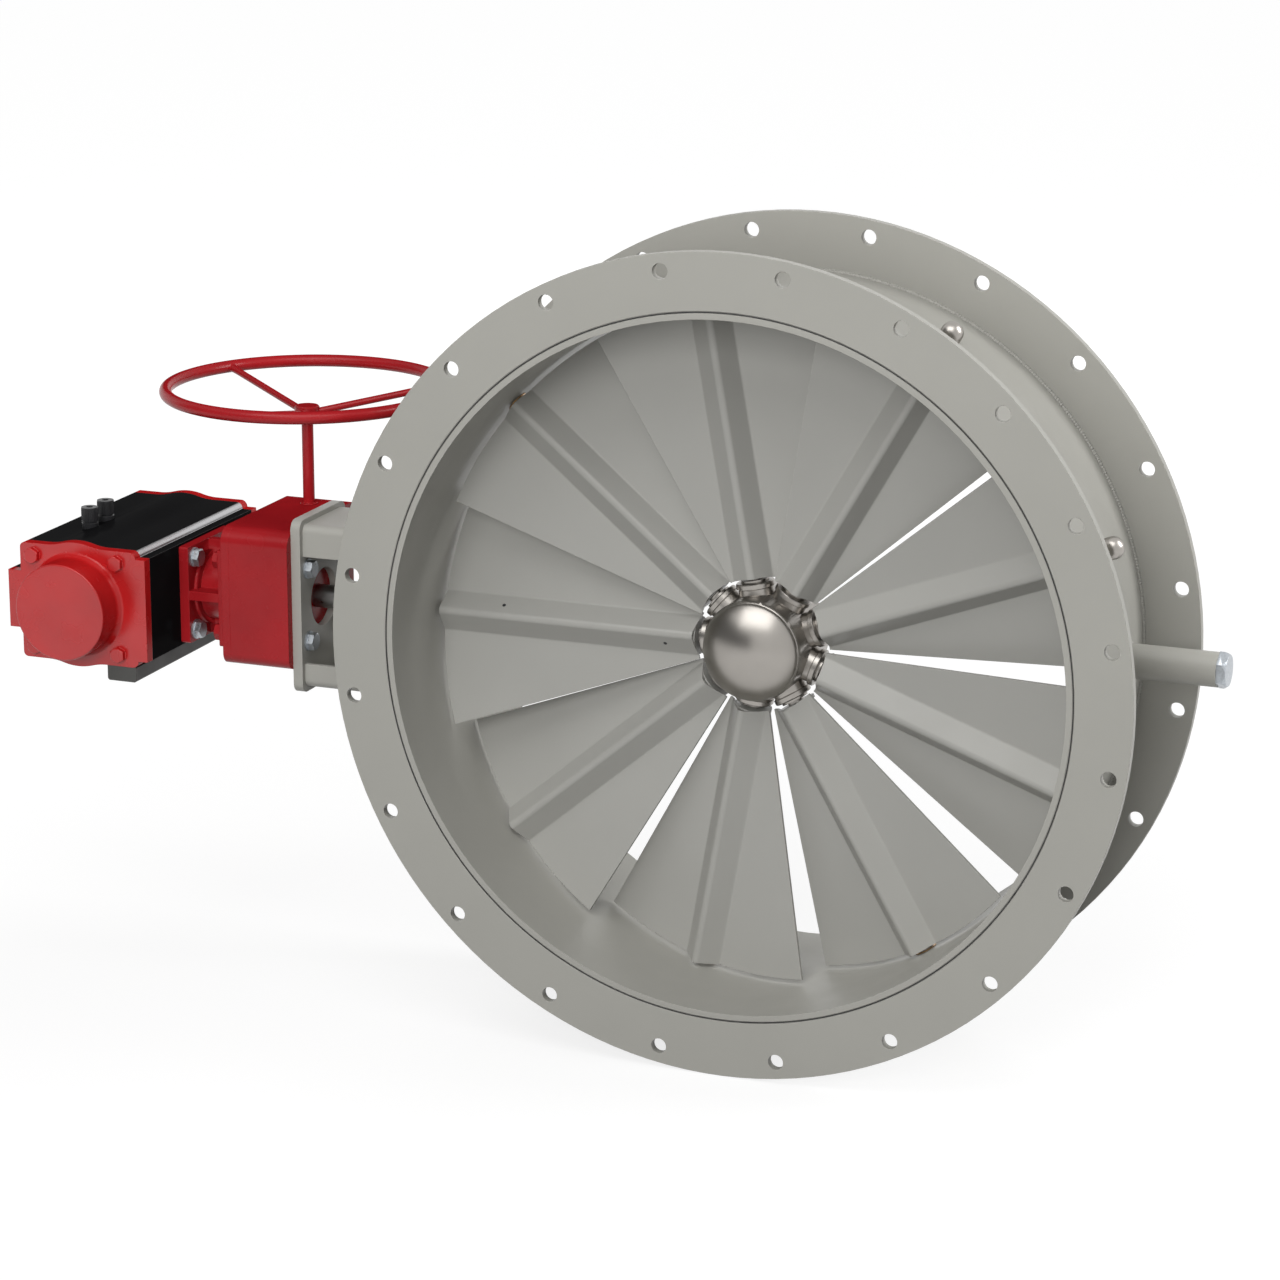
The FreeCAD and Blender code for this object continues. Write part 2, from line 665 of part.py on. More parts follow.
def make_crown_gear():
    """Crown gear that meshes with all nine pinions."""
    tip, root, back = crown_heights()
    bore = PIVOT_DIAMETER / 2 + RUNNING_GAP
    rim = GEAR_RADIUS + CROWN_RIM_MARGIN
    kink = GEAR_RADIUS * TOOTH_INNER_SHARE - CROWN_TOOTH_STEP
    blank = turned_about_y([
        (bore, SHAFT_PLANE + root),
        (kink, SHAFT_PLANE + root),
        (kink, SHAFT_PLANE + root * kink / GEAR_RADIUS),
        (rim, SHAFT_PLANE + root * rim / GEAR_RADIUS),
        (rim, SHAFT_PLANE + back - CROWN_RIM_CUT),
        (kink, SHAFT_PLANE + back),
        (bore, SHAFT_PLANE + back),
    ])
    tooth_half = BEVEL_TOOTH_SHARE * math.pi * BEVEL_MODULE
    sunk = root + BEVEL_TOOTH_SUNK
    tip_half = tooth_half - (PINION_PITCH_RADIUS - tip) * FLANK_SLOPE
    sunk_half = tooth_half + (sunk - PINION_PITCH_RADIUS) * FLANK_SLOPE
    section = [
        Vector(GEAR_RADIUS, SHAFT_PLANE + tip, -tip_half),
        Vector(GEAR_RADIUS, SHAFT_PLANE + tip, tip_half),
        Vector(GEAR_RADIUS, SHAFT_PLANE + sunk, sunk_half),
        Vector(GEAR_RADIUS, SHAFT_PLANE + sunk, -sunk_half),
    ]
    tooth = tooth_to_centre(section)
    teeth = []
    for index in range(CROWN_TEETH):
        turned = tooth.copy()
        turned.rotate(Vector(0, 0, 0), Vector(0, 1, 0), (index + 0.5) * 360.0 / CROWN_TEETH)
        teeth.append(turned)
    return blank.fuse(teeth)


def gear_outline(teeth, stations):
    """Points round a gear: each tooth goes through (radius, half width) and back."""
    outline = []
    for index in range(teeth):
        middle = 2 * math.pi * index / teeth
        for radius, half_width in stations:
            outline.append((radius, middle - half_width / radius))
        for radius, half_width in reversed(stations):
            outline.append((radius, middle + half_width / radius))
    return outline


def make_bevel_pinion():
    """Bevel pinion on a vane shaft, one tooth pointing at the crown."""
    tooth_half = BEVEL_TOOTH_SHARE * math.pi * BEVEL_MODULE
    stations = [
        (PINION_PITCH_RADIUS - PINION_DEDENDUM * BEVEL_MODULE, PINION_ROOT_SHARE * tooth_half),
        (PINION_PITCH_RADIUS, tooth_half),
        (PINION_PITCH_RADIUS + PINION_ADDENDUM * BEVEL_MODULE, PINION_TIP_SHARE * tooth_half),
    ]
    outer = []
    for radius, turn in gear_outline(PINION_TEETH, stations):
        outer.append(Vector(GEAR_RADIUS, SHAFT_PLANE + radius * math.cos(turn), radius * math.sin(turn)))
    gear = tooth_to_centre(outer)
    collar = rod(stations[0][0], shaft_point(GEAR_RADIUS), shaft_point(HUB_CAVITY_RADIUS))
    bore = rod(SPIGOT_DIAMETER / 2 + RUNNING_GAP, shaft_point(0), shaft_point(HUB_CAVITY_RADIUS + 1))
    return gear.fuse(collar).cut(bore)


def make_nozzle_pipe():
    """Short pipe welded to the casing wall."""
    start = Vector(SHELL_INNER, NOZZLE_FROM_INLET, 0)
    end = Vector(SHELL_OUTER + NOZZLE_LENGTH, NOZZLE_FROM_INLET, 0)
    pipe = rod(NOZZLE_DIAMETER / 2, start, end).cut(rod(NOZZLE_BORE / 2, start, end))
    wall = rod(SHELL_OUTER + WELD_GAP, Vector(0, 0, 0), Vector(0, CASING_LENGTH, 0))
    return pipe.cut(wall)


def make_nozzle_plug():
    """Hexagon plug screwed into the pipe."""
    face = SHELL_OUTER + NOZZLE_LENGTH
    start = Vector(face, NOZZLE_FROM_INLET, 0)
    end = Vector(face + PLUG_HEAD, NOZZLE_FROM_INLET, 0)
    thread_end = Vector(face - PLUG_THREAD_LENGTH, NOZZLE_FROM_INLET, 0)
    head = hexagon_bar(PLUG_ACROSS_FLATS, start, end)
    corner = PLUG_ACROSS_FLATS / math.sqrt(3)
    chamfer = Part.makeCone(corner + PLUG_HEAD, PLUG_ACROSS_FLATS / 2 - PLUG_CHAMFER, 2 * PLUG_HEAD,
                            start - Vector(PLUG_HEAD, 0, 0), Vector(1, 0, 0))
    thread = rod(NOZZLE_BORE / 2 - PUSH_GAP, thread_end, start)
    return head.common(chamfer).fuse(thread)


def make_drive_bracket():
    """Box welded to the casing, with a window at the front and one behind for the bolts."""
    half_depth = BRACKET_DEPTH / 2
    half_height = BRACKET_HEIGHT / 2
    y_range = (SHAFT_PLANE - half_depth, SHAFT_PLANE + half_depth)
    z_range = (-half_height, half_height)
    inner_y = (y_range[0] + BRACKET_WALL, y_range[1] - BRACKET_WALL)
    inner_z = (z_range[0] + BRACKET_WALL, z_range[1] - BRACKET_WALL)
    inner_corner = BRACKET_CORNER - BRACKET_WALL
    box = rounded_bar(-PLATE_INNER, 0, y_range, z_range, [BRACKET_CORNER] * 4)
    hollow = rounded_bar(-PLATE_INNER, 0, inner_y, inner_z, [inner_corner] * 4)
    casing = rod(SHELL_OUTER + WELD_GAP, Vector(0, -CASING_LENGTH, 0), Vector(0, 2 * CASING_LENGTH, 0))
    windows = block(Vector(-PLATE_INNER, y_range[0] - 1, WINDOW_BOTTOM),
                    Vector(-PLATE_INNER + WINDOW_LENGTH, y_range[1] + 1, WINDOW_TOP))
    return box.cut([hollow, casing, windows])


def interface_points(distance):
    """The four bolt places of the square interface at one distance."""
    points = []
    for side in (-1, 1):
        for level in (-1, 1):
            points.append(Vector(-distance, SHAFT_PLANE + side * BOLT_OFFSET, level * BOLT_OFFSET))
    return points


def interface_holes(radius, near, far):
    """Four holes of the square interface between two distances."""
    along = Vector(near - far, 0, 0)
    return [rod(radius, point, point + along) for point in interface_points(near)]


def make_bracket_plate():
    half_depth = BRACKET_DEPTH / 2 + BRACKET_PLATE_MARGIN_Y
    half_height = BRACKET_HEIGHT / 2 + BRACKET_PLATE_MARGIN_Z
    plate = rounded_bar(-PLATE_OUTER, -PLATE_INNER, (SHAFT_PLANE - half_depth, SHAFT_PLANE + half_depth),
                        (-half_height, half_height), [BRACKET_PLATE_CORNER] * 4)
    bore = rod(REGISTER_DIAMETER / 2 + PUSH_GAP, axis_point(PLATE_INNER - 1), axis_point(PLATE_OUTER + 1))
    return plate.cut([bore] + interface_holes(BOLT_HOLE_DIAMETER / 2, PLATE_INNER - 1, PLATE_OUTER + 1))


def make_coupling():
    """Sleeve that joins the drive shaft and the gearbox stem."""
    start = SHELL_OUTER + COUPLING_START
    end = start + COUPLING_LENGTH
    bore = DRIVE_SHAFT_DIAMETER / 2 + RUNNING_GAP
    outer = COUPLING_DIAMETER / 2
    return turned_about_shaft([
        (start, bore),
        (start, outer - COUPLING_CHAMFER),
        (start + COUPLING_CHAMFER, outer),
        (end - COUPLING_CHAMFER, outer),
        (end, outer - COUPLING_CHAMFER),
        (end, bore),
    ])


def make_gearbox_stem():
    """Stem from the coupling through the gearbox and spool to the actuator socket."""
    start = SHELL_OUTER + COUPLING_START + DRIVE_SHAFT_IN_COUPLING + COUPLING_SHAFT_GAP
    round_end = MOUNT_FACE - SPOOL_PLATE_THICKNESS
    half = STEM_SQUARE / 2
    square = block(Vector(-(MOUNT_FACE + STEM_SQUARE_REACH), SHAFT_PLANE - half, -half),
                   Vector(-round_end, SHAFT_PLANE + half, half))
    return rod(STEM_DIAMETER / 2, axis_point(start), axis_point(round_end)).fuse(square)


def gearbox_bar(start, end, inset):
    """Bar with the gearbox outline, drawn in by the inset."""
    y_range = (SHAFT_PLANE - GEARBOX_FRONT + inset, SHAFT_PLANE + GEARBOX_BACK - inset)
    z_range = (-GEARBOX_BOTTOM + inset, GEARBOX_TOP - inset)
    radii = []
    for outer in (GEARBOX_ROUND_BOTTOM, GEARBOX_ROUND_BACK, GEARBOX_ROUND_BACK, GEARBOX_ROUND_TOP):
        radii.append(max(outer - inset, 0.0))
    return rounded_bar(-end, -start, y_range, z_range, radii)


def worm_point(z):
    """Point on the worm axis."""
    return Vector(WORM_AXIS_X, WORM_AXIS_Y, z)


def make_gearbox_housing():
    """Hollow housing with a register, stem boss, bolt bosses and worm bearings."""
    inner_wall = PLATE_OUTER + GEARBOX_WALL
    housing = gearbox_bar(PLATE_OUTER, BOX_END, 0.0)
    housing = housing.cut(gearbox_bar(inner_wall, BOX_END, GEARBOX_WALL))
    bolt_boss_radius = BOLT_DIAMETER / 2 + BOLT_BOSS_WALL
    floor = -GEARBOX_BOTTOM + GEARBOX_WALL
    ceiling = GEARBOX_TOP - GEARBOX_WALL
    solids = [
        rod(REGISTER_DIAMETER / 2, axis_point(PLATE_OUTER - REGISTER_DEPTH), axis_point(inner_wall)),
        rod(GEARBOX_BOSS_DIAMETER / 2, axis_point(inner_wall - 1),
            axis_point(inner_wall + GEARBOX_BOSS_LENGTH)),
        rod(WORM_BOSS_DIAMETER / 2, worm_point(floor - 1), worm_point(floor + WORM_BUSH_LENGTH)),
        rod(WORM_BOSS_DIAMETER / 2, worm_point(ceiling - WORM_BUSH_LENGTH), worm_point(ceiling + 1)),
    ]
    solids += interface_holes(bolt_boss_radius, inner_wall - 1, inner_wall + GEARBOX_BOSS_LENGTH)
    bush_bore = worm_bush_radius() + PUSH_GAP
    cuts = [
        rod(STEM_DIAMETER / 2 + RUNNING_GAP, axis_point(PLATE_INNER), axis_point(BOX_END)),
        rod(bush_bore, worm_point(floor), worm_point(floor + 2 * WORM_BUSH_LENGTH)),
        rod(bush_bore, worm_point(ceiling - 2 * WORM_BUSH_LENGTH), worm_point(GEARBOX_TOP + 1)),
    ]
    cuts += interface_holes(BOLT_DIAMETER / 2 + RUNNING_GAP, PLATE_INNER, PLATE_OUTER + BOLT_GRIP + 1)
    return housing.fuse(solids).cut(cuts)


def make_gearbox_cover():
    cover = gearbox_bar(BOX_END, COVER_END, 0.0)
    bore = rod(STEM_DIAMETER / 2 + RUNNING_GAP, axis_point(BOX_END - 1), axis_point(COVER_END + 1))
    holes = interface_holes(BOLT_DIAMETER / 2 + RUNNING_GAP, BOX_END - 1, COVER_END + 1)
    return cover.cut([bore] + holes)


def make_worm_wheel():
    """Worm wheel on the stem, with teeth twisted to the lead angle of the worm."""
    tooth_half = WORM_LEAD / 4 - WORM_BACKLASH / 4
    addendum = WORM_ADDENDUM * WORM_MODULE
    dedendum = WORM_DEDENDUM * WORM_MODULE
    stations = [
        (WHEEL_RADIUS - dedendum, tooth_half + dedendum * FLANK_SLOPE),
        (WHEEL_RADIUS, tooth_half),
        (WHEEL_RADIUS + addendum, tooth_half - addendum * FLANK_SLOPE),
    ]
    half_width = WHEEL_WIDTH / 2
    twist = half_width * WORM_LEAD / (2 * math.pi * WORM_PITCH_RADIUS) / WHEEL_RADIUS
    ends = []
    for side in (-1, 1):
        points = []
        for radius, turn in gear_outline(WHEEL_TEETH, stations):
            angle = turn + side * twist
            points.append(Vector(WORM_AXIS_X + side * half_width,
                                 SHAFT_PLANE + radius * math.cos(angle), radius * math.sin(angle)))
        ends.append(points)
    low, high = ends
    faces = [flat_face(low), flat_face(high)]
    for index in range(len(low)):
        faces.append(flat_face([low[index - 1], low[index], high[index]]))
        faces.append(flat_face([low[index - 1], high[index], high[index - 1]]))
    wheel = closed_solid(faces)
    boss_start = PLATE_OUTER + GEARBOX_WALL + GEARBOX_BOSS_LENGTH + FACE_GAP
    boss = rod(GEARBOX_BOSS_DIAMETER / 2, axis_point(boss_start), axis_point(BOX_END - FACE_GAP))
    bore = rod(STEM_DIAMETER / 2 + RUNNING_GAP, axis_point(PLATE_OUTER), axis_point(BOX_END))
    return wheel.fuse(boss).cut(bore)


def worm_bush_radius():
    return WORM_SHAFT_DIAMETER / 2 + RUNNING_GAP + BUSH_WALL


def make_worm_bushes():
    """Two plain bushes that carry the worm shaft in the housing."""
    floor = -GEARBOX_BOTTOM + GEARBOX_WALL
    ceiling = GEARBOX_TOP - GEARBOX_WALL
    bore = WORM_SHAFT_DIAMETER / 2 + RUNNING_GAP
    bushes = []
    for start, end in ((floor, floor + WORM_BUSH_LENGTH), (ceiling - WORM_BUSH_LENGTH, GEARBOX_TOP)):
        outer = rod(worm_bush_radius(), worm_point(start), worm_point(end))
        bushes.append(outer.cut(rod(bore, worm_point(start - 1), worm_point(end + 1))))
    return Part.makeCompound(bushes)


def make_worm_thread():
    """Single right-hand thread in flat facets, its space level with the wheel axis."""
    tooth_half = WORM_LEAD / 4 - WORM_BACKLASH / 4
    tip_rise = WORM_ADDENDUM * WORM_MODULE
    sunk_drop = WORM_DEDENDUM * WORM_MODULE + WORM_THREAD_SUNK
    section = [
        (WORM_PITCH_RADIUS - sunk_drop, tooth_half + sunk_drop * FLANK_SLOPE),
        (WORM_PITCH_RADIUS + tip_rise, tooth_half - tip_rise * FLANK_SLOPE),
    ]
    steps = round(WORM_TURNS * WORM_FACETS)
    rings = []
    for step in range(steps + 1):
        along = (step / steps - 0.5) * WORM_TURNS
        turn = 2 * math.pi * along + math.pi / 2
        ring = []
        for radius, half_width in section + section[::-1]:
            side = -1 if len(ring) < len(section) else 1
            ring.append(Vector(WORM_AXIS_X + radius * math.cos(turn), WORM_AXIS_Y + radius * math.sin(turn),
                               along * WORM_LEAD + side * half_width))
        rings.append(ring)
    faces = [flat_face(rings[0]), flat_face(rings[-1])]
    for first, second in zip(rings, rings[1:]):
        for index in range(len(first)):
            faces.append(flat_face([first[index - 1], first[index], second[index]]))
            faces.append(flat_face([first[index - 1], second[index], second[index - 1]]))
    return closed_solid(faces)


def make_worm_shaft():
    """Worm on its shaft, which rises to the handwheel."""
    core = WORM_PITCH_RADIUS - WORM_DEDENDUM * WORM_MODULE
    half = WORM_CORE_LENGTH / 2
    floor = -GEARBOX_BOTTOM + GEARBOX_WALL
    top = handwheel_hub_bottom() + HANDWHEEL_SOCKET
    shaft = rod(WORM_SHAFT_DIAMETER / 2, worm_point(floor + FACE_GAP), worm_point(top))
    return shaft.fuse([rod(core, worm_point(-half), worm_point(half)), make_worm_thread()])


def handwheel_hub_bottom():
    return HANDWHEEL_HEIGHT - HANDWHEEL_DISH - HANDWHEEL_HUB_LENGTH / 2


def make_handwheel():
    """Tube rim on three dished spokes with a capped hub."""
    rim_radius = (HANDWHEEL_DIAMETER - HANDWHEEL_TUBE) / 2
    hub_bottom = handwheel_hub_bottom()
    hub_middle = worm_point(HANDWHEEL_HEIGHT - HANDWHEEL_DISH)
    rim = Part.makeTorus(rim_radius, HANDWHEEL_TUBE / 2, worm_point(HANDWHEEL_HEIGHT))
    hub_top = hub_bottom + HANDWHEEL_HUB_LENGTH
    hub = rod(HANDWHEEL_HUB_DIAMETER / 2, worm_point(hub_bottom), worm_point(hub_top))
    hub = hub.makeChamfer(HANDWHEEL_HUB_CHAMFER, [edge for edge in hub.Edges if edge.Closed])
    spokes = []
    for index in range(SPOKE_COUNT):
        turn = math.radians(FIRST_SPOKE + index * 360.0 / SPOKE_COUNT)
        outward = Vector(math.cos(turn), math.sin(turn), 0)
        spokes.append(rod(SPOKE_DIAMETER / 2, hub_middle + outward * SPOKE_START,
                          worm_point(HANDWHEEL_HEIGHT) + outward * rim_radius))
    wheel = rim.fuse([hub] + spokes)
    socket = rod(WORM_SHAFT_DIAMETER / 2 + RUNNING_GAP, worm_point(hub_bottom - 1),
                 worm_point(hub_bottom + HANDWHEEL_SOCKET + FACE_GAP))
    return wheel.cut(socket)


def make_spool():
    """Spool with two square plates, a barrel and ribs in a cross."""
    half = SPOOL_PLATE / 2
    middle_y = (SHAFT_PLANE - half, SHAFT_PLANE + half)
    thickness = SPOOL_PLATE_THICKNESS
    corners = [SPOOL_PLATE_CORNER] * 4
    near_plate = rounded_bar(-(COVER_END + thickness), -COVER_END, middle_y, (-half, half), corners)
    far_plate = rounded_bar(-MOUNT_FACE, -(MOUNT_FACE - thickness), middle_y, (-half, half), corners)
    rib = SPOOL_RIB / 2
    solids = [
        far_plate,
        rod(SPOOL_BARREL / 2, axis_point(COVER_END + 1), axis_point(MOUNT_FACE - 1)),
        rod(SPOOL_COLLAR_DIAMETER / 2, axis_point(MOUNT_FACE - thickness - SPOOL_COLLAR_LENGTH),
            axis_point(MOUNT_FACE - 1)),
        block(Vector(-MOUNT_FACE + 1, SHAFT_PLANE - half + 1, -rib),
              Vector(-COVER_END - 1, SHAFT_PLANE + half - 1, rib)),
        block(Vector(-MOUNT_FACE + 1, SHAFT_PLANE - rib, -half + 1),
              Vector(-COVER_END - 1, SHAFT_PLANE + rib, half - 1)),
    ]
    cuts = interface_holes(BOLT_HOLE_DIAMETER / 2, COVER_END - 1, COVER_END + thickness + 1)
    cuts += interface_holes(BOLT_HOLE_DIAMETER / 2, MOUNT_FACE - thickness - 1, MOUNT_FACE + 1)
    cuts.append(rod(SPOOL_BORE / 2, axis_point(COVER_END - 1), axis_point(MOUNT_FACE + 1)))
    seat_radius = WASHER_DIAMETER / 2 + SPOOL_WASHER_GAP
    seats = interface_holes(seat_radius, COVER_END + thickness, MOUNT_FACE - thickness)
    return near_plate.fuse(solids).cut(cuts + seats)


def make_bolts():
    """Twelve hexagon bolts with washers: four at the bracket and eight at the spool."""
    faces = (
        (PLATE_INNER, 1),
        (COVER_END + SPOOL_PLATE_THICKNESS, -1),
        (MOUNT_FACE - SPOOL_PLATE_THICKNESS, 1),
    )
    pieces = []
    for seat, direction in faces:
        inward = Vector(-direction, 0, 0)
        for point in interface_points(seat):
            washer_face = point - inward * WASHER_THICKNESS
            washer = rod(WASHER_DIAMETER / 2, washer_face, point)
            washer = washer.cut(rod(BOLT_DIAMETER / 2 + PUSH_GAP, washer_face - inward, point + inward))
            head = hexagon_bar(BOLT_ACROSS_FLATS, washer_face - inward * BOLT_HEAD, washer_face)
            shank = rod(BOLT_DIAMETER / 2, washer_face - inward,
                        point + inward * (SPOOL_PLATE_THICKNESS + BOLT_GRIP))
            pieces += [washer, head.fuse(shank)]
    return Part.makeCompound(pieces)


def actuator_outline(y):
    """Closed outline of the actuator section, mirrored top to bottom."""
    top = ACTUATOR_HALF_HEIGHT
    bead = ACTUATOR_BEAD
    ledge_end = ACTUATOR_FACE_TO_AXIS - ACTUATOR_LEDGE
    back = ACTUATOR_BACK_TO_AXIS
    back_round = ACTUATOR_BACK_ROUND
    pad = back + ACTUATOR_PAD_THICKNESS
    swell = ACTUATOR_SWELL_HALF_WIDTH

    def at(towards_mount, z):
        return Vector(-CYLINDER_AXIS + towards_mount, y, z)

    def line(*points):
        return [Part.LineSegment(a, b).toShape() for a, b in zip(points, points[1:])]

    def corner(centre, radius, start, end):
        """Quarter arc given by its centre and its two end directions."""
        middle = (start + end).normalize()
        return Part.Arc(centre + start * radius, centre + middle * radius, centre + end * radius).toShape()

    def swell_side(side):
        """Two tangent arcs from the flat top up to the crest."""
        radius = (swell ** 2 + ACTUATOR_SWELL ** 2) / (4 * ACTUATOR_SWELL)
        half = math.asin(swell / 2 / radius) / 2
        drop = radius * (1 - math.cos(half))
        reach = radius * math.sin(half)
        foot, crest = at(side * swell, top), at(0, top + ACTUATOR_SWELL)
        middle = (foot + crest) * 0.5
        low = at(side * (swell - reach), top + drop)
        high = at(side * reach, top + ACTUATOR_SWELL - drop)
        return [Part.Arc(foot, low, middle).toShape(), Part.Arc(middle, high, crest).toShape()]

    right, up, left = Vector(1, 0, 0), Vector(0, 0, 1), Vector(-1, 0, 0)
    face = ACTUATOR_FACE_TO_AXIS
    edges = line(at(face, 0), at(face, top - bead), at(ledge_end, top - bead))
    edges.append(corner(at(ledge_end - bead, top - bead), bead, right, up))
    edges += line(at(ledge_end - bead, top), at(swell, top))
    edges += swell_side(1) + swell_side(-1)
    edges += line(at(-swell, top), at(-back + back_round, top))
    edges.append(corner(at(-back + back_round, top - back_round), back_round, up, left))
    edges += line(at(-back, top - back_round), at(-back, ACTUATOR_PAD_HALF_HEIGHT),
                  at(-pad, ACTUATOR_PAD_HALF_HEIGHT), at(-pad, 0))
    mirrored = [edge.mirror(Vector(0, 0, 0), Vector(0, 0, 1)) for edge in edges]
    return Part.Wire(Part.sortEdges(edges + mirrored)[0])


def cylinder_point(y, across=0.0, z=0.0):
    """Point by the actuator's cylinder axis."""
    return Vector(-CYLINDER_AXIS + across, y, z)


def cap_screw_places():
    """The four screw places of an end cap, across and up from the cylinder axis."""
    offset = CAP_SCREW_OFFSET
    return [(across, z) for across in (-offset, offset) for z in (-offset, offset)]


def fitting_places():
    """Places of the two air fittings along the actuator."""
    return [SHAFT_PLANE - offset for offset in FITTING_OFFSETS]


def make_actuator_body():
    """Extruded body with the cylinder, the pinion bores and the screw holes."""
    near = SHAFT_PLANE - BODY_HALF_LENGTH
    far = SHAFT_PLANE + BODY_HALF_LENGTH
    body = Part.Face(actuator_outline(near)).extrude(Vector(0, far - near, 0))
    back = CYLINDER_AXIS + ACTUATOR_BACK_TO_AXIS + ACTUATOR_PAD_THICKNESS
    cuts = [
        rod(CYLINDER_RADIUS, cylinder_point(near - 1), cylinder_point(far + 1)),
        rod(MOUNT_JOURNAL_DIAMETER / 2 + RUNNING_GAP, axis_point(MOUNT_FACE - 1), axis_point(CYLINDER_AXIS)),
        rod(BACK_JOURNAL_DIAMETER / 2 + RUNNING_GAP, axis_point(CYLINDER_AXIS), axis_point(back + 1)),
    ]
    cuts += interface_holes(BOLT_DIAMETER / 2 + RUNNING_GAP, MOUNT_FACE - 1, MOUNT_FACE + BOLT_GRIP + 1)
    for across, z in cap_screw_places():
        for end, inward in ((near, 1), (far, -1)):
            cuts.append(rod(CAP_SCREW_DIAMETER / 2 + RUNNING_GAP, cylinder_point(end - inward, across, z),
                            cylinder_point(end + inward * (CAP_SCREW_DEPTH + 1), across, z)))
    for y in fitting_places():
        seat = cylinder_point(y, -FITTING_FROM_AXIS, ACTUATOR_HALF_HEIGHT)
        above = seat + Vector(0, 0, 2 * ACTUATOR_SWELL)
        below = seat - Vector(0, 0, FITTING_STEM_LENGTH + 1)
        cuts.append(rod(FITTING_DIAMETER / 2 + WELD_GAP, seat, above))
        cuts.append(rod(FITTING_STEM_DIAMETER / 2 + RUNNING_GAP, below, above))
    return body.cut(cuts)


def make_end_cap(plate_inner, direction):
    """End cap with a round boss, scalloped for its four screws.

    The direction is -1 for the cap on the inlet side and 1 for the other.
    """
    outward = Vector(0, direction, 0)
    plate = Part.Face(actuator_outline(plate_inner)).extrude(outward * CAP_PLATE_THICKNESS)
    plate_outer = plate_inner + direction * CAP_PLATE_THICKNESS
    centre = cylinder_point(plate_outer)

    def at(radius, height):
        return centre + Vector(radius, 0, 0) + outward * height

    flare = CAP_BOSS_FLARE
    edge = CAP_BOSS_EDGE
    boss, height = CAP_BOSS_RADIUS, CAP_BOSS_HEIGHT
    slope = math.sqrt(0.5)
    edges = [
        Part.LineSegment(at(0, -1), at(boss + flare, -1)).toShape(),
        Part.LineSegment(at(boss + flare, -1), at(boss + flare, 0)).toShape(),
        Part.Arc(at(boss + flare, 0), at(boss + flare * (1 - slope), flare * (1 - slope)),
                 at(boss, flare)).toShape(),
        Part.LineSegment(at(boss, flare), at(boss, height - edge)).toShape(),
        Part.Arc(at(boss, height - edge), at(boss - edge * (1 - slope), height - edge * (1 - slope)),
                 at(boss - edge, height)).toShape(),
        Part.LineSegment(at(boss - edge, height), at(0, height)).toShape(),
        Part.LineSegment(at(0, height), at(0, -1)).toShape(),
    ]
    knob = Part.Face(Part.Wire(edges)).revolve(centre, Vector(0, 1, 0), 360)
    cuts = [rod(CAP_CAVITY_RADIUS, cylinder_point(plate_inner - direction),
                cylinder_point(plate_inner + direction * CAP_CAVITY_DEPTH))]
    for across, z in cap_screw_places():
        seat = cylinder_point(plate_outer, across, z)
        cuts.append(rod(CAP_SCREW_POCKET, seat, seat + outward * height))
        cuts.append(rod(CAP_SCREW_DIAMETER / 2 + PUSH_GAP, seat - outward * (CAP_PLATE_THICKNESS + 1),
                        seat + outward))
    return plate.fuse(knob).cut(cuts)


def make_cap_screws():
    """Eight hexagon screws that hold the end caps."""
    screws = []
    for direction in (-1, 1):
        outward = Vector(0, direction, 0)
        seat_y = SHAFT_PLANE + direction * ACTUATOR_LENGTH / 2
        for across, z in cap_screw_places():
            seat = cylinder_point(seat_y, across, z)
            head = hexagon_bar(CAP_SCREW_ACROSS_FLATS, seat, seat + outward * CAP_SCREW_HEAD)
            shank = rod(CAP_SCREW_DIAMETER / 2, seat - outward * (CAP_PLATE_THICKNESS + CAP_SCREW_DEPTH),
                        seat + outward)
            screws.append(head.fuse(shank))
    return Part.makeCompound(screws)


def make_rail():
    """Rail under the actuator, along its whole length."""
    half = ACTUATOR_LENGTH / 2
    x_high = -MOUNT_FACE - RAIL_FROM_FACE
    x_low = x_high - RAIL_WIDTH
    top = -ACTUATOR_HALF_HEIGHT
    bottom = top - RAIL_HEIGHT
    near = SHAFT_PLANE - half
    points = [Vector(x_low, near, top), Vector(x_high, near, top),
              Vector(x_high, near, bottom), Vector(x_low, near, bottom)]
    face = Part.Face(rounded_wire(points, [0.0, 0.0, RAIL_ROUND, RAIL_ROUND]))
    return face.extrude(Vector(0, 2 * half, 0))


def make_fittings():
    """Two round air fittings screwed into the top of the actuator."""
    fittings = []
    for y in fitting_places():
        seat = cylinder_point(y, -FITTING_FROM_AXIS, ACTUATOR_HALF_HEIGHT)
        up = Vector(0, 0, 1)
        neck_top = seat + up * (FITTING_NECK + FITTING_GROOVE_WIDTH)
        base = rod(FITTING_DIAMETER / 2, seat, seat + up * FITTING_NECK)
        neck = rod(FITTING_DIAMETER / 2 - FITTING_GROOVE_DEPTH, seat, neck_top + up)
        grip = rod(FITTING_DIAMETER / 2, neck_top, seat + up * FITTING_HEIGHT)
        stem = rod(FITTING_STEM_DIAMETER / 2, seat - up * FITTING_STEM_LENGTH, seat + up)
        mouth = rod(FITTING_BORE / 2, seat + up * FITTING_NECK, seat + up * (FITTING_HEIGHT + 1))
        fittings.append(base.fuse([neck, grip, stem]).cut(mouth))
    return Part.makeCompound(fittings)


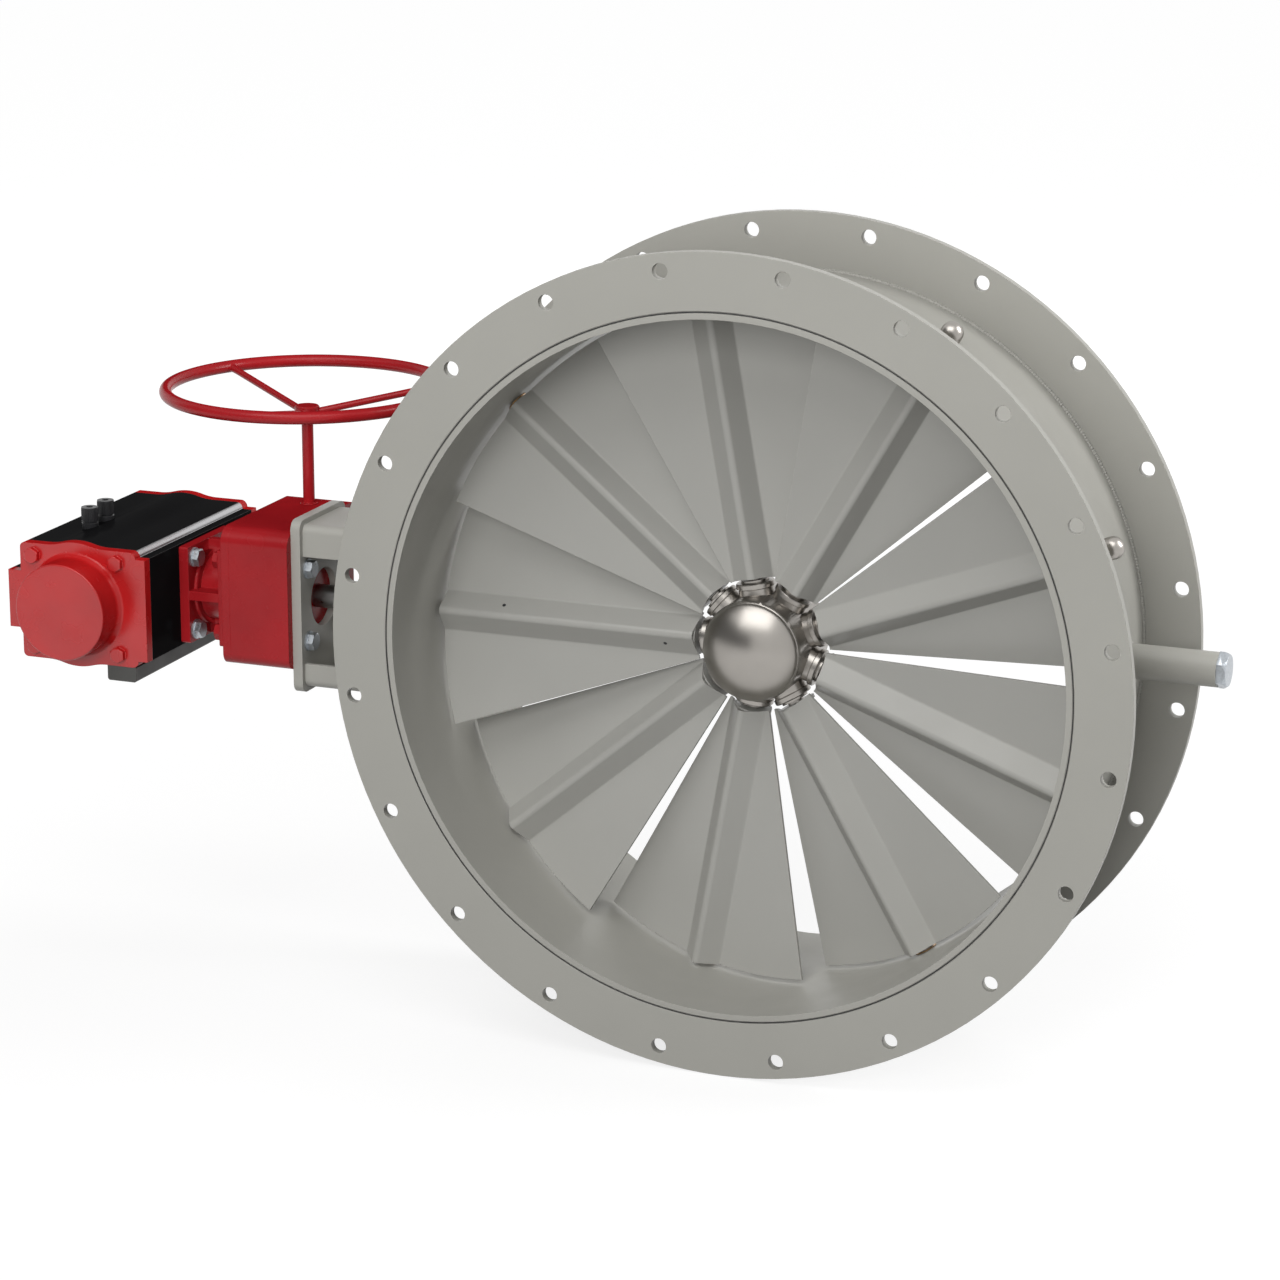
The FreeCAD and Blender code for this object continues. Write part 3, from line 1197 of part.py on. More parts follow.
def make_actuator_pinion():
    """Actuator pinion with its journals, the square socket and the slotted indicator end."""
    module = RACK_MODULE
    tooth_half = RACK_TOOTH_SHARE * math.pi * module
    stations = [
        (RACK_PITCH_RADIUS - RACK_DEDENDUM * module, RACK_PINION_ROOT_SHARE * tooth_half),
        (RACK_PITCH_RADIUS, tooth_half),
        (RACK_PITCH_RADIUS + RACK_ADDENDUM * module, RACK_PINION_TIP_SHARE * tooth_half),
    ]
    half_width = RACK_PINION_WIDTH / 2
    points = []
    for radius, turn in gear_outline(RACK_PINION_TEETH, stations):
        points.append(Vector(-CYLINDER_AXIS - half_width, SHAFT_PLANE + radius * math.sin(turn),
                             radius * math.cos(turn)))
    gear = flat_face(points).extrude(Vector(RACK_PINION_WIDTH, 0, 0))
    face = MOUNT_FACE + FACE_GAP
    back = CYLINDER_AXIS + ACTUATOR_BACK_TO_AXIS + ACTUATOR_PAD_THICKNESS
    journal_end = CYLINDER_AXIS - CYLINDER_RADIUS + MOUNT_JOURNAL_INSIDE
    solids = [
        rod(MOUNT_JOURNAL_DIAMETER / 2, axis_point(face), axis_point(journal_end)),
        rod(PINION_WAIST_DIAMETER / 2, axis_point(journal_end - 1), axis_point(CYLINDER_AXIS)),
        rod(BACK_JOURNAL_DIAMETER / 2, axis_point(CYLINDER_AXIS), axis_point(back)),
        rod(INDICATOR_DIAMETER / 2, axis_point(back - 1), axis_point(back + INDICATOR_REACH)),
    ]
    socket_half = STEM_SQUARE / 2 + PUSH_GAP
    slot_half = INDICATOR_SLOT / 2
    cuts = [
        block(Vector(-(MOUNT_FACE + SOCKET_DEPTH), SHAFT_PLANE - socket_half, -socket_half),
              Vector(-MOUNT_FACE + 1, SHAFT_PLANE + socket_half, socket_half)),
        block(Vector(-(back + INDICATOR_REACH + 1), SHAFT_PLANE - INDICATOR_DIAMETER, -slot_half),
              Vector(-(back + INDICATOR_REACH / 2), SHAFT_PLANE + INDICATOR_DIAMETER, slot_half)),
    ]
    return gear.fuse(solids).cut(cuts)


def make_far_piston():
    """Piston on the outlet side, its rack arm above the pinion."""
    start = SHAFT_PLANE + PISTON_FROM_CENTRE
    head = rod(CYLINDER_RADIUS - PISTON_GAP, cylinder_point(start), cylinder_point(start + PISTON_THICKNESS))
    pitch = math.pi * RACK_MODULE
    tooth_half = RACK_TOOTH_SHARE * pitch
    addendum = RACK_ADDENDUM * RACK_MODULE
    tip_half = tooth_half - addendum * FLANK_SLOPE
    root_half = tooth_half + (RACK_ROOT_HEIGHT - RACK_PITCH_RADIUS) * FLANK_SLOPE
    tip_z = RACK_PITCH_RADIUS - addendum
    top_z = RACK_ROOT_HEIGHT + RACK_ARM_HEIGHT
    arm_tip = SHAFT_PLANE - RACK_ARM_REACH
    x = -RACK_ARM_WIDTH / 2
    arm_root = start + 1
    outline = [(arm_root, RACK_ROOT_HEIGHT), (arm_root, top_z), (arm_tip, top_z), (arm_tip, RACK_ROOT_HEIGHT)]
    first = SHAFT_PLANE - (RACK_TOOTH_COUNT // 2 + 0.5) * pitch
    for index in range(RACK_TOOTH_COUNT):
        middle = first + index * pitch
        outline += [(middle - root_half, RACK_ROOT_HEIGHT), (middle - tip_half, tip_z),
                    (middle + tip_half, tip_z), (middle + root_half, RACK_ROOT_HEIGHT)]
    arm = flat_face([cylinder_point(y, x, z) for y, z in outline]).extrude(Vector(RACK_ARM_WIDTH, 0, 0))
    return head.fuse(arm)


def make_near_piston():
    """The other piston, the same piece turned half a turn about the pinion axis."""
    piston = make_far_piston()
    piston.rotate(HUB_CENTRE, Vector(1, 0, 0), 180)
    return piston


def build_parts():
    """All pieces by name."""
    casing_bush = make_bush(SHELL_INNER - BUSH_INSIDE_REACH, BUSH_END - BUSH_RIM, BUSH_END)
    hub_bush = make_bush(HUB_CAVITY_RADIUS + FACE_GAP, BOSS_END, BOSS_END + BUSH_RIM)
    body_end = SHAFT_PLANE + BODY_HALF_LENGTH
    body_start = SHAFT_PLANE - BODY_HALF_LENGTH
    parts = {
        "casing_shell": make_casing_shell(),
        "inlet_flange": make_flange(0.0, FLANGE_THICKNESS),
        "outlet_flange": make_flange(CASING_LENGTH, CASING_LENGTH - FLANGE_THICKNESS),
        "casing_bushes": make_bush_set(casing_bush),
        "hub_bushes": make_bush_set(hub_bush),
        "hub_body": make_hub_body(),
        "hub_front_dome": make_hub_dome(),
        "hub_rear_cover": make_hub_cover(),
        "crown_pivot": make_crown_pivot(),
        "crown_gear": make_crown_gear(),
        "nozzle_pipe": make_nozzle_pipe(),
        "nozzle_plug": make_nozzle_plug(),
        "drive_bracket": make_drive_bracket(),
        "bracket_plate": make_bracket_plate(),
        "drive_coupling": make_coupling(),
        "gearbox_stem": make_gearbox_stem(),
        "gearbox_housing": make_gearbox_housing(),
        "gearbox_cover": make_gearbox_cover(),
        "worm_wheel": make_worm_wheel(),
        "worm_bushes": make_worm_bushes(),
        "worm_shaft": make_worm_shaft(),
        "handwheel": make_handwheel(),
        "adapter_spool": make_spool(),
        "flange_bolts": make_bolts(),
        "actuator_body": make_actuator_body(),
        "actuator_end_cap_near": make_end_cap(body_start, -1),
        "actuator_end_cap_far": make_end_cap(body_end, 1),
        "cap_screws": make_cap_screws(),
        "actuator_rail": make_rail(),
        "air_fittings": make_fittings(),
        "actuator_pinion": make_actuator_pinion(),
        "piston_far": make_far_piston(),
        "piston_near": make_near_piston(),
    }
    parts["drive_coupling"] = turn_to_vane(parts["drive_coupling"], 0)
    vane = make_vane()
    pinion = make_bevel_pinion()
    shaft = make_vane_shaft()
    for index in range(VANE_COUNT):
        name = "vane_%d" % (index + 1)
        parts[name] = turn_to_vane(vane, index)
        parts[name + "_pinion"] = turn_to_vane(pinion, index)
        parts[name + "_shaft"] = turn_to_vane(make_drive_shaft() if index == 0 else shaft, index)
    return parts


def main():
    os.makedirs("parts", exist_ok=True)
    for name, shape in build_parts().items():
        shape.exportStep("parts/%s.step" % name)


main()
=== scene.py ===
"""Volume control damper in a pale studio.

Nine radial vanes in a flanged casing, with a polished hub, a drive bracket, a red override
gearbox with its handwheel, a spool and a pneumatic actuator. Lengths are in metres, and angles
that have a name are in degrees.
"""

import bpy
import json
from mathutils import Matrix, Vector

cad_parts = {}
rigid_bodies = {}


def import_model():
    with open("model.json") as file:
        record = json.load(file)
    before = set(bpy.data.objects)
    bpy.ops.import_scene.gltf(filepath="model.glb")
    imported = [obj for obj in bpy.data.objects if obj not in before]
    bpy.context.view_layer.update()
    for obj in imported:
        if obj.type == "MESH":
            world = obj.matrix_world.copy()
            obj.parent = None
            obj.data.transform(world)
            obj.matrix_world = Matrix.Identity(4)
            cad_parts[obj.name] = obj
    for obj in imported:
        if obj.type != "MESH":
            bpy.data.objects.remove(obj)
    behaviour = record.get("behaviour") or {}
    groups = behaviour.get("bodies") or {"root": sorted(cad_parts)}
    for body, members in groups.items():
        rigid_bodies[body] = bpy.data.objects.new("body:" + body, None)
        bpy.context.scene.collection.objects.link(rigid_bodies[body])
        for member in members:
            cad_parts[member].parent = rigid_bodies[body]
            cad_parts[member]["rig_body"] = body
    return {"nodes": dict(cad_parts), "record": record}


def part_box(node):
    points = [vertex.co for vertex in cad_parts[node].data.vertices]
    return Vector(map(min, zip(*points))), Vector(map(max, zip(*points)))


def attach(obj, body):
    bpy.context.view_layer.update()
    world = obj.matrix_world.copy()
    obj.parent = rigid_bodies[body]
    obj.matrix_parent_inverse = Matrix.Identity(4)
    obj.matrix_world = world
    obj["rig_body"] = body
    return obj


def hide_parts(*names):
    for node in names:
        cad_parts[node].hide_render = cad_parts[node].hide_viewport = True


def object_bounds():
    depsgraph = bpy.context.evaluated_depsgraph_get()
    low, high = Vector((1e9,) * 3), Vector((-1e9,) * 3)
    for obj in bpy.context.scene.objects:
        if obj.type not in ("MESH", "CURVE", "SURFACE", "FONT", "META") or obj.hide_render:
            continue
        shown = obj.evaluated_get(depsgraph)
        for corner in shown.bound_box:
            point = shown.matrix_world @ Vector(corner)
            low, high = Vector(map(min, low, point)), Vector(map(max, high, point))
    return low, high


bl_info = {
    "name": "Volume Control Damper",
    "version": (1, 0, 0),
    "blender": (4, 5, 0),
    "location": "View3D > Sidebar > Damper",
    "description": "Dresses the volume control damper and sets up its studio",
    "category": "Object",
}

import json
import math

import bmesh
import bpy
from bpy.props import FloatProperty, FloatVectorProperty, IntProperty, PointerProperty
from mathutils import Matrix, Vector

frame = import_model()
CAD_BOX = [list(corner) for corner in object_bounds()]
NODE_SLOTS = {part["node"]: part["material_slot"] for part in frame["record"]["subparts"]}

# The duct runs along Y, and the vane shafts lie in one plane across it. Each pin of the drive vane
# has its distance from the axis and its side of the ridge.

VANE_COUNT = 9
VANE_STEP = 40.0
SHAFT_PLANE = 0.150
HUB_CENTRE = Vector((0.0, SHAFT_PLANE, 0.0))
REST_OPENING = 12.3
RIDGE_FOOT = 0.0072
RIDGE_SLOPE = 0.0112
PIN_PLACES = ((0.114, 1), (0.318, -1))
PIN_LIFT = 0.0015

# Middles of the bolt squares along the drive, each with the way its heads point

BOLT_CIRCLE = 0.125
BARE_BOLT_SEATS = (((-0.559, SHAFT_PLANE, 0.0), (1, 0, 0)), ((-0.709, SHAFT_PLANE, 0.0), (1, 0, 0)))
PAINTED_BOLT_SEATS = (((-0.670, SHAFT_PLANE, 0.0), (-1, 0, 0)),)
ACTUATOR_X = -0.814
CAP_SCREW_OFFSET = 0.0555
CAP_SCREW_SEATS = (((ACTUATOR_X, 0.005, 0.0), (0, -1, 0)), ((ACTUATOR_X, 0.295, 0.0), (0, 1, 0)))
FITTING_PLACES = ((-0.843, 0.097, 0.0805), (-0.843, 0.136, 0.0805))

# Edges up to this angle in degrees are shaded smooth

CURVE_ANGLE = 32.0
CASTING_ANGLE = 24.0
CRISP_ANGLE = 20.0


# Sizes and colours that a user would change


def measure(name, description, default, unit="LENGTH"):
    """Size property in metres, or in another unit."""
    return FloatProperty(name=name, description=description, default=default, min=0.0,
                         unit=unit, precision=4)


def colour(name, description, default):
    """Paint or metal colour property, as linear light."""
    return FloatVectorProperty(name=name, description=description, default=default,
                               subtype="COLOR", size=3, min=0.0, max=1.0)


class DamperColours(bpy.types.PropertyGroup):
    """Colours of the paints, metals and plastics."""

    casing_grey: colour("Casing grey", "Paint on the casing and bracket", (0.372, 0.366, 0.335))
    vane_grey: colour("Vane grey", "Paint on the folded vanes", (0.365, 0.361, 0.338))
    drive_red: colour("Drive red", "Enamel on gearbox, spool and handwheel", (0.35, 0.012, 0.016))
    cap_red: colour("Cap red", "Enamel on the actuator end caps", (0.46, 0.012, 0.013))
    body_black: colour("Body black", "Hard coat on the actuator body", (0.0075, 0.0075, 0.008))
    rail_grey: colour("Rail grey", "Paint on the rail below the actuator", (0.070, 0.070, 0.066))
    fitting_black: colour("Fitting black", "Plastic of the air fittings", (0.011, 0.011, 0.012))
    hub_steel: colour("Hub steel", "Polished steel of hub and shaft heads", (0.36, 0.34, 0.315))
    turned_steel: colour("Turned steel", "Bare steel of shafts and gears", (0.47, 0.46, 0.45))
    zinc: colour("Zinc", "Zinc plate on the bolts and washers", (0.45, 0.48, 0.51))
    bearing_bronze: colour("Bearing bronze", "Bronze of bushes and worm wheel", (0.50, 0.30, 0.13))
    piston_aluminium: colour("Piston aluminium", "Cast metal of the pistons", (0.55, 0.55, 0.55))


class DamperSizes(bpy.types.PropertyGroup):
    """Sizes of the pieces that are made here."""

    weld_width: measure("Weld width", "Width of the weld beads", 0.0055)
    weld_ripple: measure("Weld ripple", "Distance between the ripples of a weld bead", 0.0035)
    seal_width: measure("Seal width", "Width of the dark line round the inlet", 0.0011)
    rim_tube: measure("Rim tube", "Diameter of the handwheel's rim tube", 0.015)
    spoke_diameter: measure("Spoke diameter", "Diameter of the handwheel's spokes", 0.0085)
    spoke_count: IntProperty(name="Spokes", description="Number of handwheel spokes", default=3,
                             min=2, max=8)
    bolt_flats: measure("Bolt across flats", "Size of the bolt heads across flats", 0.019)
    bolt_head: measure("Bolt head", "Height of the bolt heads", 0.008)
    washer_diameter: measure("Washer diameter", "Diameter of the washers under the bolts", 0.024)
    screw_flats: measure("Cap screw across flats", "Size of the cap screws across flats", 0.017)
    screw_head: measure("Cap screw head", "Height of the cap screw heads", 0.007)
    grip_ribs: IntProperty(name="Grip ribs", description="Ribs round each air fitting", default=30,
                           min=6, max=80)
    pin_diameter: measure("Saddle pin", "Diameter of the pins in the drive vane's saddles", 0.0045)


class DamperStudio(bpy.types.PropertyGroup):
    """Camera, lamps and floor of the studio."""

    lens: FloatProperty(name="Lens", default=117.55, min=10.0,
                        description="Focal length on a 36 mm wide sensor, in millimetres")
    key_power: measure("Key lamp", "Power of the large lamp above", 62.0, "POWER")
    fill_power: measure("Fill lamp", "Power of the lamp by the camera", 176.0, "POWER")
    side_power: measure("Side lamp", "Power of the lamp on the nozzle side", 78.0, "POWER")
    back_power: measure("Back lamp", "Power of the lamp behind the damper", 75.0, "POWER")
    room_light: measure("Room light", "Strength of the room's even light", 0.06, "NONE")
    floor_size: measure("Floor size", "Side of the floor", 60.0)


# Surface finishes


class NodeTree:
    """Node tree under construction, with short ways to add and join its nodes."""

    family = "ShaderNode"

    def __init__(self, tree):
        self.tree = tree
        tree.nodes.clear()

    def add(self, kind, values=None, **settings):
        """Node with its settings, and its inputs set or linked by name or number."""
        node = self.tree.nodes.new(kind if "Node" in kind else self.family + kind)
        for name, value in settings.items():
            setattr(node, name, value)
        for socket, value in (values or {}).items():
            for one in value if isinstance(value, list) else [value]:
                if isinstance(one, bpy.types.NodeSocket):
                    self.tree.links.new(one, node.inputs[socket])
                else:
                    node.inputs[socket].default_value = one
        return node

    def get(self, kind, values=None, output=0, **settings):
        """One output of a new node."""
        return self.add(kind, values, **settings).outputs[output]

    def maths(self, operation, first, second=0.0):
        """Result of one arithmetic step."""
        return self.get("ShaderNodeMath", {0: first, 1: second}, operation=operation)

    def plus(self, first, second):
        """Sum of two values."""
        return self.maths("ADD", first, second)

    def minus(self, first, second):
        """First value less the second."""
        return self.maths("SUBTRACT", first, second)

    def times(self, first, second):
        """Product of two values."""
        return self.maths("MULTIPLY", first, second)


class Shader(NodeTree):
    """Material under construction, with patterns on Object coordinates."""

    def __init__(self, name):
        self.material = bpy.data.materials.new(name)
        self.material.use_nodes = True
        super().__init__(self.material.node_tree)
        self.place = self.get("TexCoord", output="Object")

    def noise(self, scale, detail=2.0, stretch=(1.0, 1.0, 1.0)):
        """Noise with about that many grains to the metre, drawn out along an axis."""
        place = self.get("Mapping", {"Vector": self.place, "Scale": stretch}, "Vector")
        return self.get("TexNoise", {"Vector": place, "Scale": scale, "Detail": detail}, "Fac")

    def spread(self, value, low, high, start=0.3, end=0.7):
        """Value moved from one range to another."""
        values = {"Value": value, "From Min": start, "From Max": end, "To Min": low, "To Max": high}
        return self.get("MapRange", values, "Result")

    def cloud(self, scale, detail, low=0.0, high=1.0):
        """Noise that drifts between two values."""
        return self.spread(self.noise(scale, detail), low, high)

    def blend(self, share, first, second):
        """Colour between two others."""
        first, second = (side if isinstance(side, bpy.types.NodeSocket) else (*side, 1.0)
                         for side in (first, second))
        return self.get("Mix", {"Factor": share, 6: first, 7: second}, 2, data_type="RGBA")

    def softened(self, radius):
        """Normal that is rounded over the edges within a radius."""
        return self.get("Bevel", {"Radius": radius}, "Normal", samples=4)

    def agreement(self, first, second):
        """How far two directions agree, 1 where they are the same."""
        return self.get("VectorMath", {0: first, 1: second}, "Value", operation="DOT_PRODUCT")

    def edges(self, radius, strength, worn=True):
        """Share that rises along sharp edges, broken up by grains where they are worn."""
        bent = self.agreement(self.softened(radius), self.get("NewGeometry", output="Normal"))
        bare = self.spread(bent, strength, 0.0, 0.86, 0.99)
        if not worn:
            return bare
        return self.times(bare, self.spread(self.noise(170.0, 4.0), 0.0, 1.0, 0.42, 0.62))

    def facing(self, direction, low, high, start, end):
        """Value that changes as the surface turns towards a direction."""
        share = self.agreement(self.get("TexCoord", output="Normal"), direction)
        return self.spread(share, low, high, start, end)

    def bump(self, height, depth, strength, under):
        """Relief of a given depth on top of another normal."""
        values = {"Height": height, "Distance": depth, "Strength": strength, "Normal": under}
        return self.get("Bump", values, "Normal")

    def show(self, surface):
        """The material, which ends in the given surface."""
        self.add("OutputMaterial", {"Surface": surface})
        return self.material

    def finish(self, **values):
        """Principled material, its sockets named in lower case with underscores."""
        named = {name.replace("_", " ").title().replace("Ior", "IOR"): value
                 for name, value in values.items()}
        return self.show(self.get("BsdfPrincipled", named, "BSDF"))


def shade(base, factor):
    """Colour made lighter or darker."""
    return tuple(min(1.0, channel * factor) for channel in base)


def grey(level):
    """Neutral colour of a level."""
    return (level, level, level, 1.0)


def sheet_paint(name, base, gloss=0.44):
    """Satin paint on rolled sheet: faint mottle, orange peel and thin edges."""
    coat = Shader(name)
    tint = coat.blend(coat.cloud(7.0, 4.0), shade(base, 0.955), shade(base, 1.04))
    tint = coat.blend(coat.cloud(1400.0, 2.0), tint, shade(base, 0.975))
    tint = coat.blend(coat.edges(0.0022, 0.55), tint, shade(base, 1.42))
    rough = coat.cloud(23.0, 3.0, gloss - 0.05, gloss + 0.07)
    waves = coat.bump(coat.noise(38.0, 1.0), 0.00035, 0.35, coat.softened(0.0009))
    peel = coat.bump(coat.noise(620.0), 0.00006, 0.55, waves)
    return coat.finish(base_color=tint, roughness=rough, normal=peel, specular_ior_level=0.42)


def enamel(name, base, level=0.26, sides=0.12):
    """Enamel on a casting, edges lighter as painted highlight, glossier facing -Y as painted
    reflection, dull on top as painted shade.
    """
    coat = Shader(name)
    tint = coat.blend(coat.cloud(11.0, 3.0), shade(base, 0.86), shade(base, 1.10))
    # Lighter band along the sharp edges: painted highlight lines, even and unworn
    tint = coat.blend(coat.edges(0.0016, 0.5, worn=False), tint, shade(base, 1.45))
    rough = coat.cloud(40.0, 2.0, 0.22, 0.30)
    skin = coat.bump(coat.noise(420.0), 0.00003, 0.35, coat.softened(0.0012))
    # Specular level set by facing: raised on faces turned to -Y as painted reflection, cut on
    # upward faces as painted shade
    ends = coat.facing((0.0, -1.0, 0.0), sides, level, 0.25, 0.9)
    upward = coat.facing((0.0, 0.0, 1.0), 1.0, 0.0, 0.55, 0.95)
    return coat.finish(base_color=tint, roughness=rough, normal=skin,
                       specular_ior_level=coat.times(ends, upward))


def hard_coat(name, base):
    """Dark hard coat on an extrusion, with fine draw lines, painted highlights along its edges and
    a painted reflection on its bead.
    """
    coat = Shader(name)
    lines = coat.noise(700.0, 2.0, (1.0, 0.02, 1.0))
    tint = coat.blend(coat.cloud(9.0, 3.0), base, shade(base, 1.25))
    # Light grey band along the sharp edges: painted highlight lines
    tint = coat.blend(coat.edges(0.0012, 0.3, worn=False), tint, (0.30, 0.30, 0.30))
    # Where the normal turns up and to +X the coat becomes light grey and metallic: a painted
    # reflection standing in for a lamp's highlight on the bead
    bead = coat.facing((0.80, 0.0, 0.60), 0.0, 1.0, 0.80, 0.99)
    tint = coat.blend(bead, tint, (0.52, 0.52, 0.53))
    rough = coat.spread(lines, 0.22, 0.30)
    drawn = coat.bump(lines, 0.00001, 0.4, coat.softened(0.0006))
    return coat.finish(base_color=tint, roughness=rough, normal=drawn, metallic=bead,
                       specular_ior_level=0.0, coat_weight=0.02, coat_roughness=0.15)


def moulded_plastic(name, base):
    """Black moulded plastic with a fine spark texture."""
    coat = Shader(name)
    tint = coat.blend(coat.cloud(40.0, 3.0), base, shade(base, 1.8))
    rough = coat.cloud(120.0, 2.0, 0.34, 0.46)
    grain = coat.bump(coat.noise(1500.0), 0.00005, 0.5, coat.softened(0.0005))
    return coat.finish(base_color=tint, roughness=rough, normal=grain)


def polished_metal(name, base, gloss=0.30):
    """Polished steel with faint smears and hair scratches."""
    coat = Shader(name)
    tint = coat.blend(coat.cloud(26.0, 4.0), shade(base, 0.97), shade(base, 1.03))
    rough = coat.cloud(40.0, 3.0, gloss - 0.015, gloss + 0.02)
    hairs = coat.noise(900.0, 3.0, (1.0, 0.12, 0.35))
    lines = coat.bump(hairs, 0.000004, 0.25, coat.softened(0.0007))
    return coat.finish(base_color=tint, roughness=rough, normal=lines, metallic=1.0)


def turned_metal(name, base, gloss=0.32):
    """Turned or milled metal with fine tool marks."""
    coat = Shader(name)
    tint = coat.blend(coat.cloud(45.0, 4.0), shade(base, 0.80), shade(base, 1.06))
    rough = coat.cloud(140.0, 3.0, gloss - 0.06, gloss + 0.10)
    marks = coat.noise(1300.0, 2.0, (1.0, 0.2, 0.2))
    lines = coat.bump(marks, 0.00003, 0.5, coat.softened(0.0005))
    return coat.finish(base_color=tint, roughness=rough, normal=lines, metallic=1.0)


def plated_metal(name, base):
    """Zinc plate with a crystalline bloom."""
    coat = Shader(name)
    crystals = coat.get("TexVoronoi", {"Vector": coat.place, "Scale": 420.0}, "Distance")
    bloom = coat.spread(crystals, 0.0, 1.0, 0.0, 0.8)
    tint = coat.blend(bloom, shade(base, 0.84), shade(base, 1.05))
    rough = coat.cloud(200.0, 3.0, 0.27, 0.42)
    grain = coat.bump(coat.noise(900.0, 3.0), 0.00003, 0.5, coat.softened(0.0005))
    return coat.finish(base_color=tint, roughness=rough, normal=grain, metallic=0.9)


FINISHES = {}


def finishes():
    """All finishes by the name of their slot, made once from the colours in the panel."""
    if FINISHES:
        return FINISHES
    colours = bpy.context.scene.damper_colours
    FINISHES.update({
        "casing_paint": sheet_paint("Grey casing paint", colours.casing_grey),
        "vane_paint": sheet_paint("Grey vane paint", colours.vane_grey, 0.33),
        "red_paint": enamel("Drive enamel", colours.drive_red),
        "red_cap": enamel("End cap enamel", colours.cap_red, 0.80, 0.10),
        "black_body": hard_coat("Black hard coat", colours.body_black),
        "grey_rail": sheet_paint("Rail paint", colours.rail_grey, 0.5),
        "black_plastic": moulded_plastic("Fitting plastic", colours.fitting_black),
        "polished_steel": polished_metal("Polished hub steel", colours.hub_steel),
        "machined_steel": turned_metal("Turned steel", colours.turned_steel),
        "zinc_steel": plated_metal("Zinc plate", colours.zinc),
        "bronze": turned_metal("Bearing bronze", colours.bearing_bronze, 0.36),
        "cast_aluminium": turned_metal("Cast aluminium", colours.piston_aluminium, 0.45),
    })
    return FINISHES


# Pieces from mesh code


def new_object(name, data):
    """Object in the scene, at the origin."""
    item = bpy.data.objects.new(name, data)
    bpy.context.scene.collection.objects.link(item)
    return item


def new_piece(name, mesh, body, slot, *replaced):
    """Object on its body with its finish, standing for the CAD nodes that it replaces."""
    piece = new_object(name, mesh)
    mesh.materials.clear()
    mesh.materials.append(finishes()[slot])
    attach(piece, body)
    if replaced:
        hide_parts(*replaced)
    flat_sides = piece.modifiers.new("Flat sides stay flat", "WEIGHTED_NORMAL")
    flat_sides.keep_sharp = True
    return piece


def smooth(mesh, angle=CURVE_ANGLE):
    """Smooth shading, with edges kept sharp above an angle in degrees."""
    mesh.shade_smooth()
    mesh.set_sharp_from_angle(angle=math.radians(angle))
    return mesh


def kept_mesh(name, shape):
    """Mesh from a finished bmesh, which is freed."""
    mesh = bpy.data.meshes.new(name)
    shape.to_mesh(mesh)
    shape.free()
    return mesh


def smoothed_copies(names, angle=CURVE_ANGLE):
    """Pieces that stand for CAD nodes, by node, with joined corners and smooth curves."""
    for node, name in names.items():
        source = frame["nodes"][node]
        shape = bmesh.new()
        shape.from_mesh(source.data)
        bmesh.ops.remove_doubles(shape, verts=shape.verts, dist=2e-6)
        bmesh.ops.dissolve_limit(shape, angle_limit=math.radians(0.4), verts=shape.verts,
                                 edges=shape.edges)
        mesh = smooth(kept_mesh(name, shape), angle)
        new_piece(name, mesh, source["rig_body"], NODE_SLOTS[node], node)


def turned_mesh(name, profile, centre, axis, steps):
    """Mesh turned about an axis, from (distance along it, radius) points."""
    axis = Vector(axis).normalized()
    across = axis.orthogonal().normalized()
    other = axis.cross(across)
    shape = bmesh.new()
    rings = []
    for along, radius in profile:
        middle = Vector(centre) + axis * along
        if radius < 1e-9:
            rings.append([shape.verts.new(middle)])
            continue
        ring = []
        for step in range(steps):
            turn = 2 * math.pi * step / steps
            outward = across * math.cos(turn) + other * math.sin(turn)
            ring.append(shape.verts.new(middle + radius * outward))
        rings.append(ring)
    for first, second in zip(rings, rings[1:]):
        for step in range(steps):
            after = (step + 1) % steps
            corners = [first[step % len(first)], first[after % len(first)],
                       second[after % len(second)], second[step % len(second)]]
            unique = list(dict.fromkeys(corners))
            if len(unique) > 2:
                shape.faces.new(unique)
    bmesh.ops.recalc_face_normals(shape, faces=shape.faces)
    return smooth(kept_mesh(name, shape))


def arc_points(middle, radius, start, end, steps):
    """(along, radius) points on an arc, with its angles in degrees."""
    points = []
    for step in range(steps + 1):
        turn = math.radians(start + (end - start) * step / steps)
        points.append((middle[0] + radius * math.cos(turn), middle[1] + radius * math.sin(turn)))
    return points


def ring_mesh(name, places):
    """Mesh of a closed line through some places."""
    mesh = bpy.data.meshes.new(name)
    count = len(places)
    edges = [(index, (index + 1) % count) for index in range(count)]
    mesh.from_pydata(places, edges, [])
    return mesh


def seat_mesh(name, places, directions):
    """Mesh of loose points, each with the way that its piece faces."""
    mesh = bpy.data.meshes.new(name)
    mesh.from_pydata([tuple(place) for place in places], [], [])
    facing = mesh.attributes.new("facing", "FLOAT_VECTOR", "POINT")
    for index, direction in enumerate(directions):
        facing.data[index].vector = direction
    return mesh


# Geometry Nodes


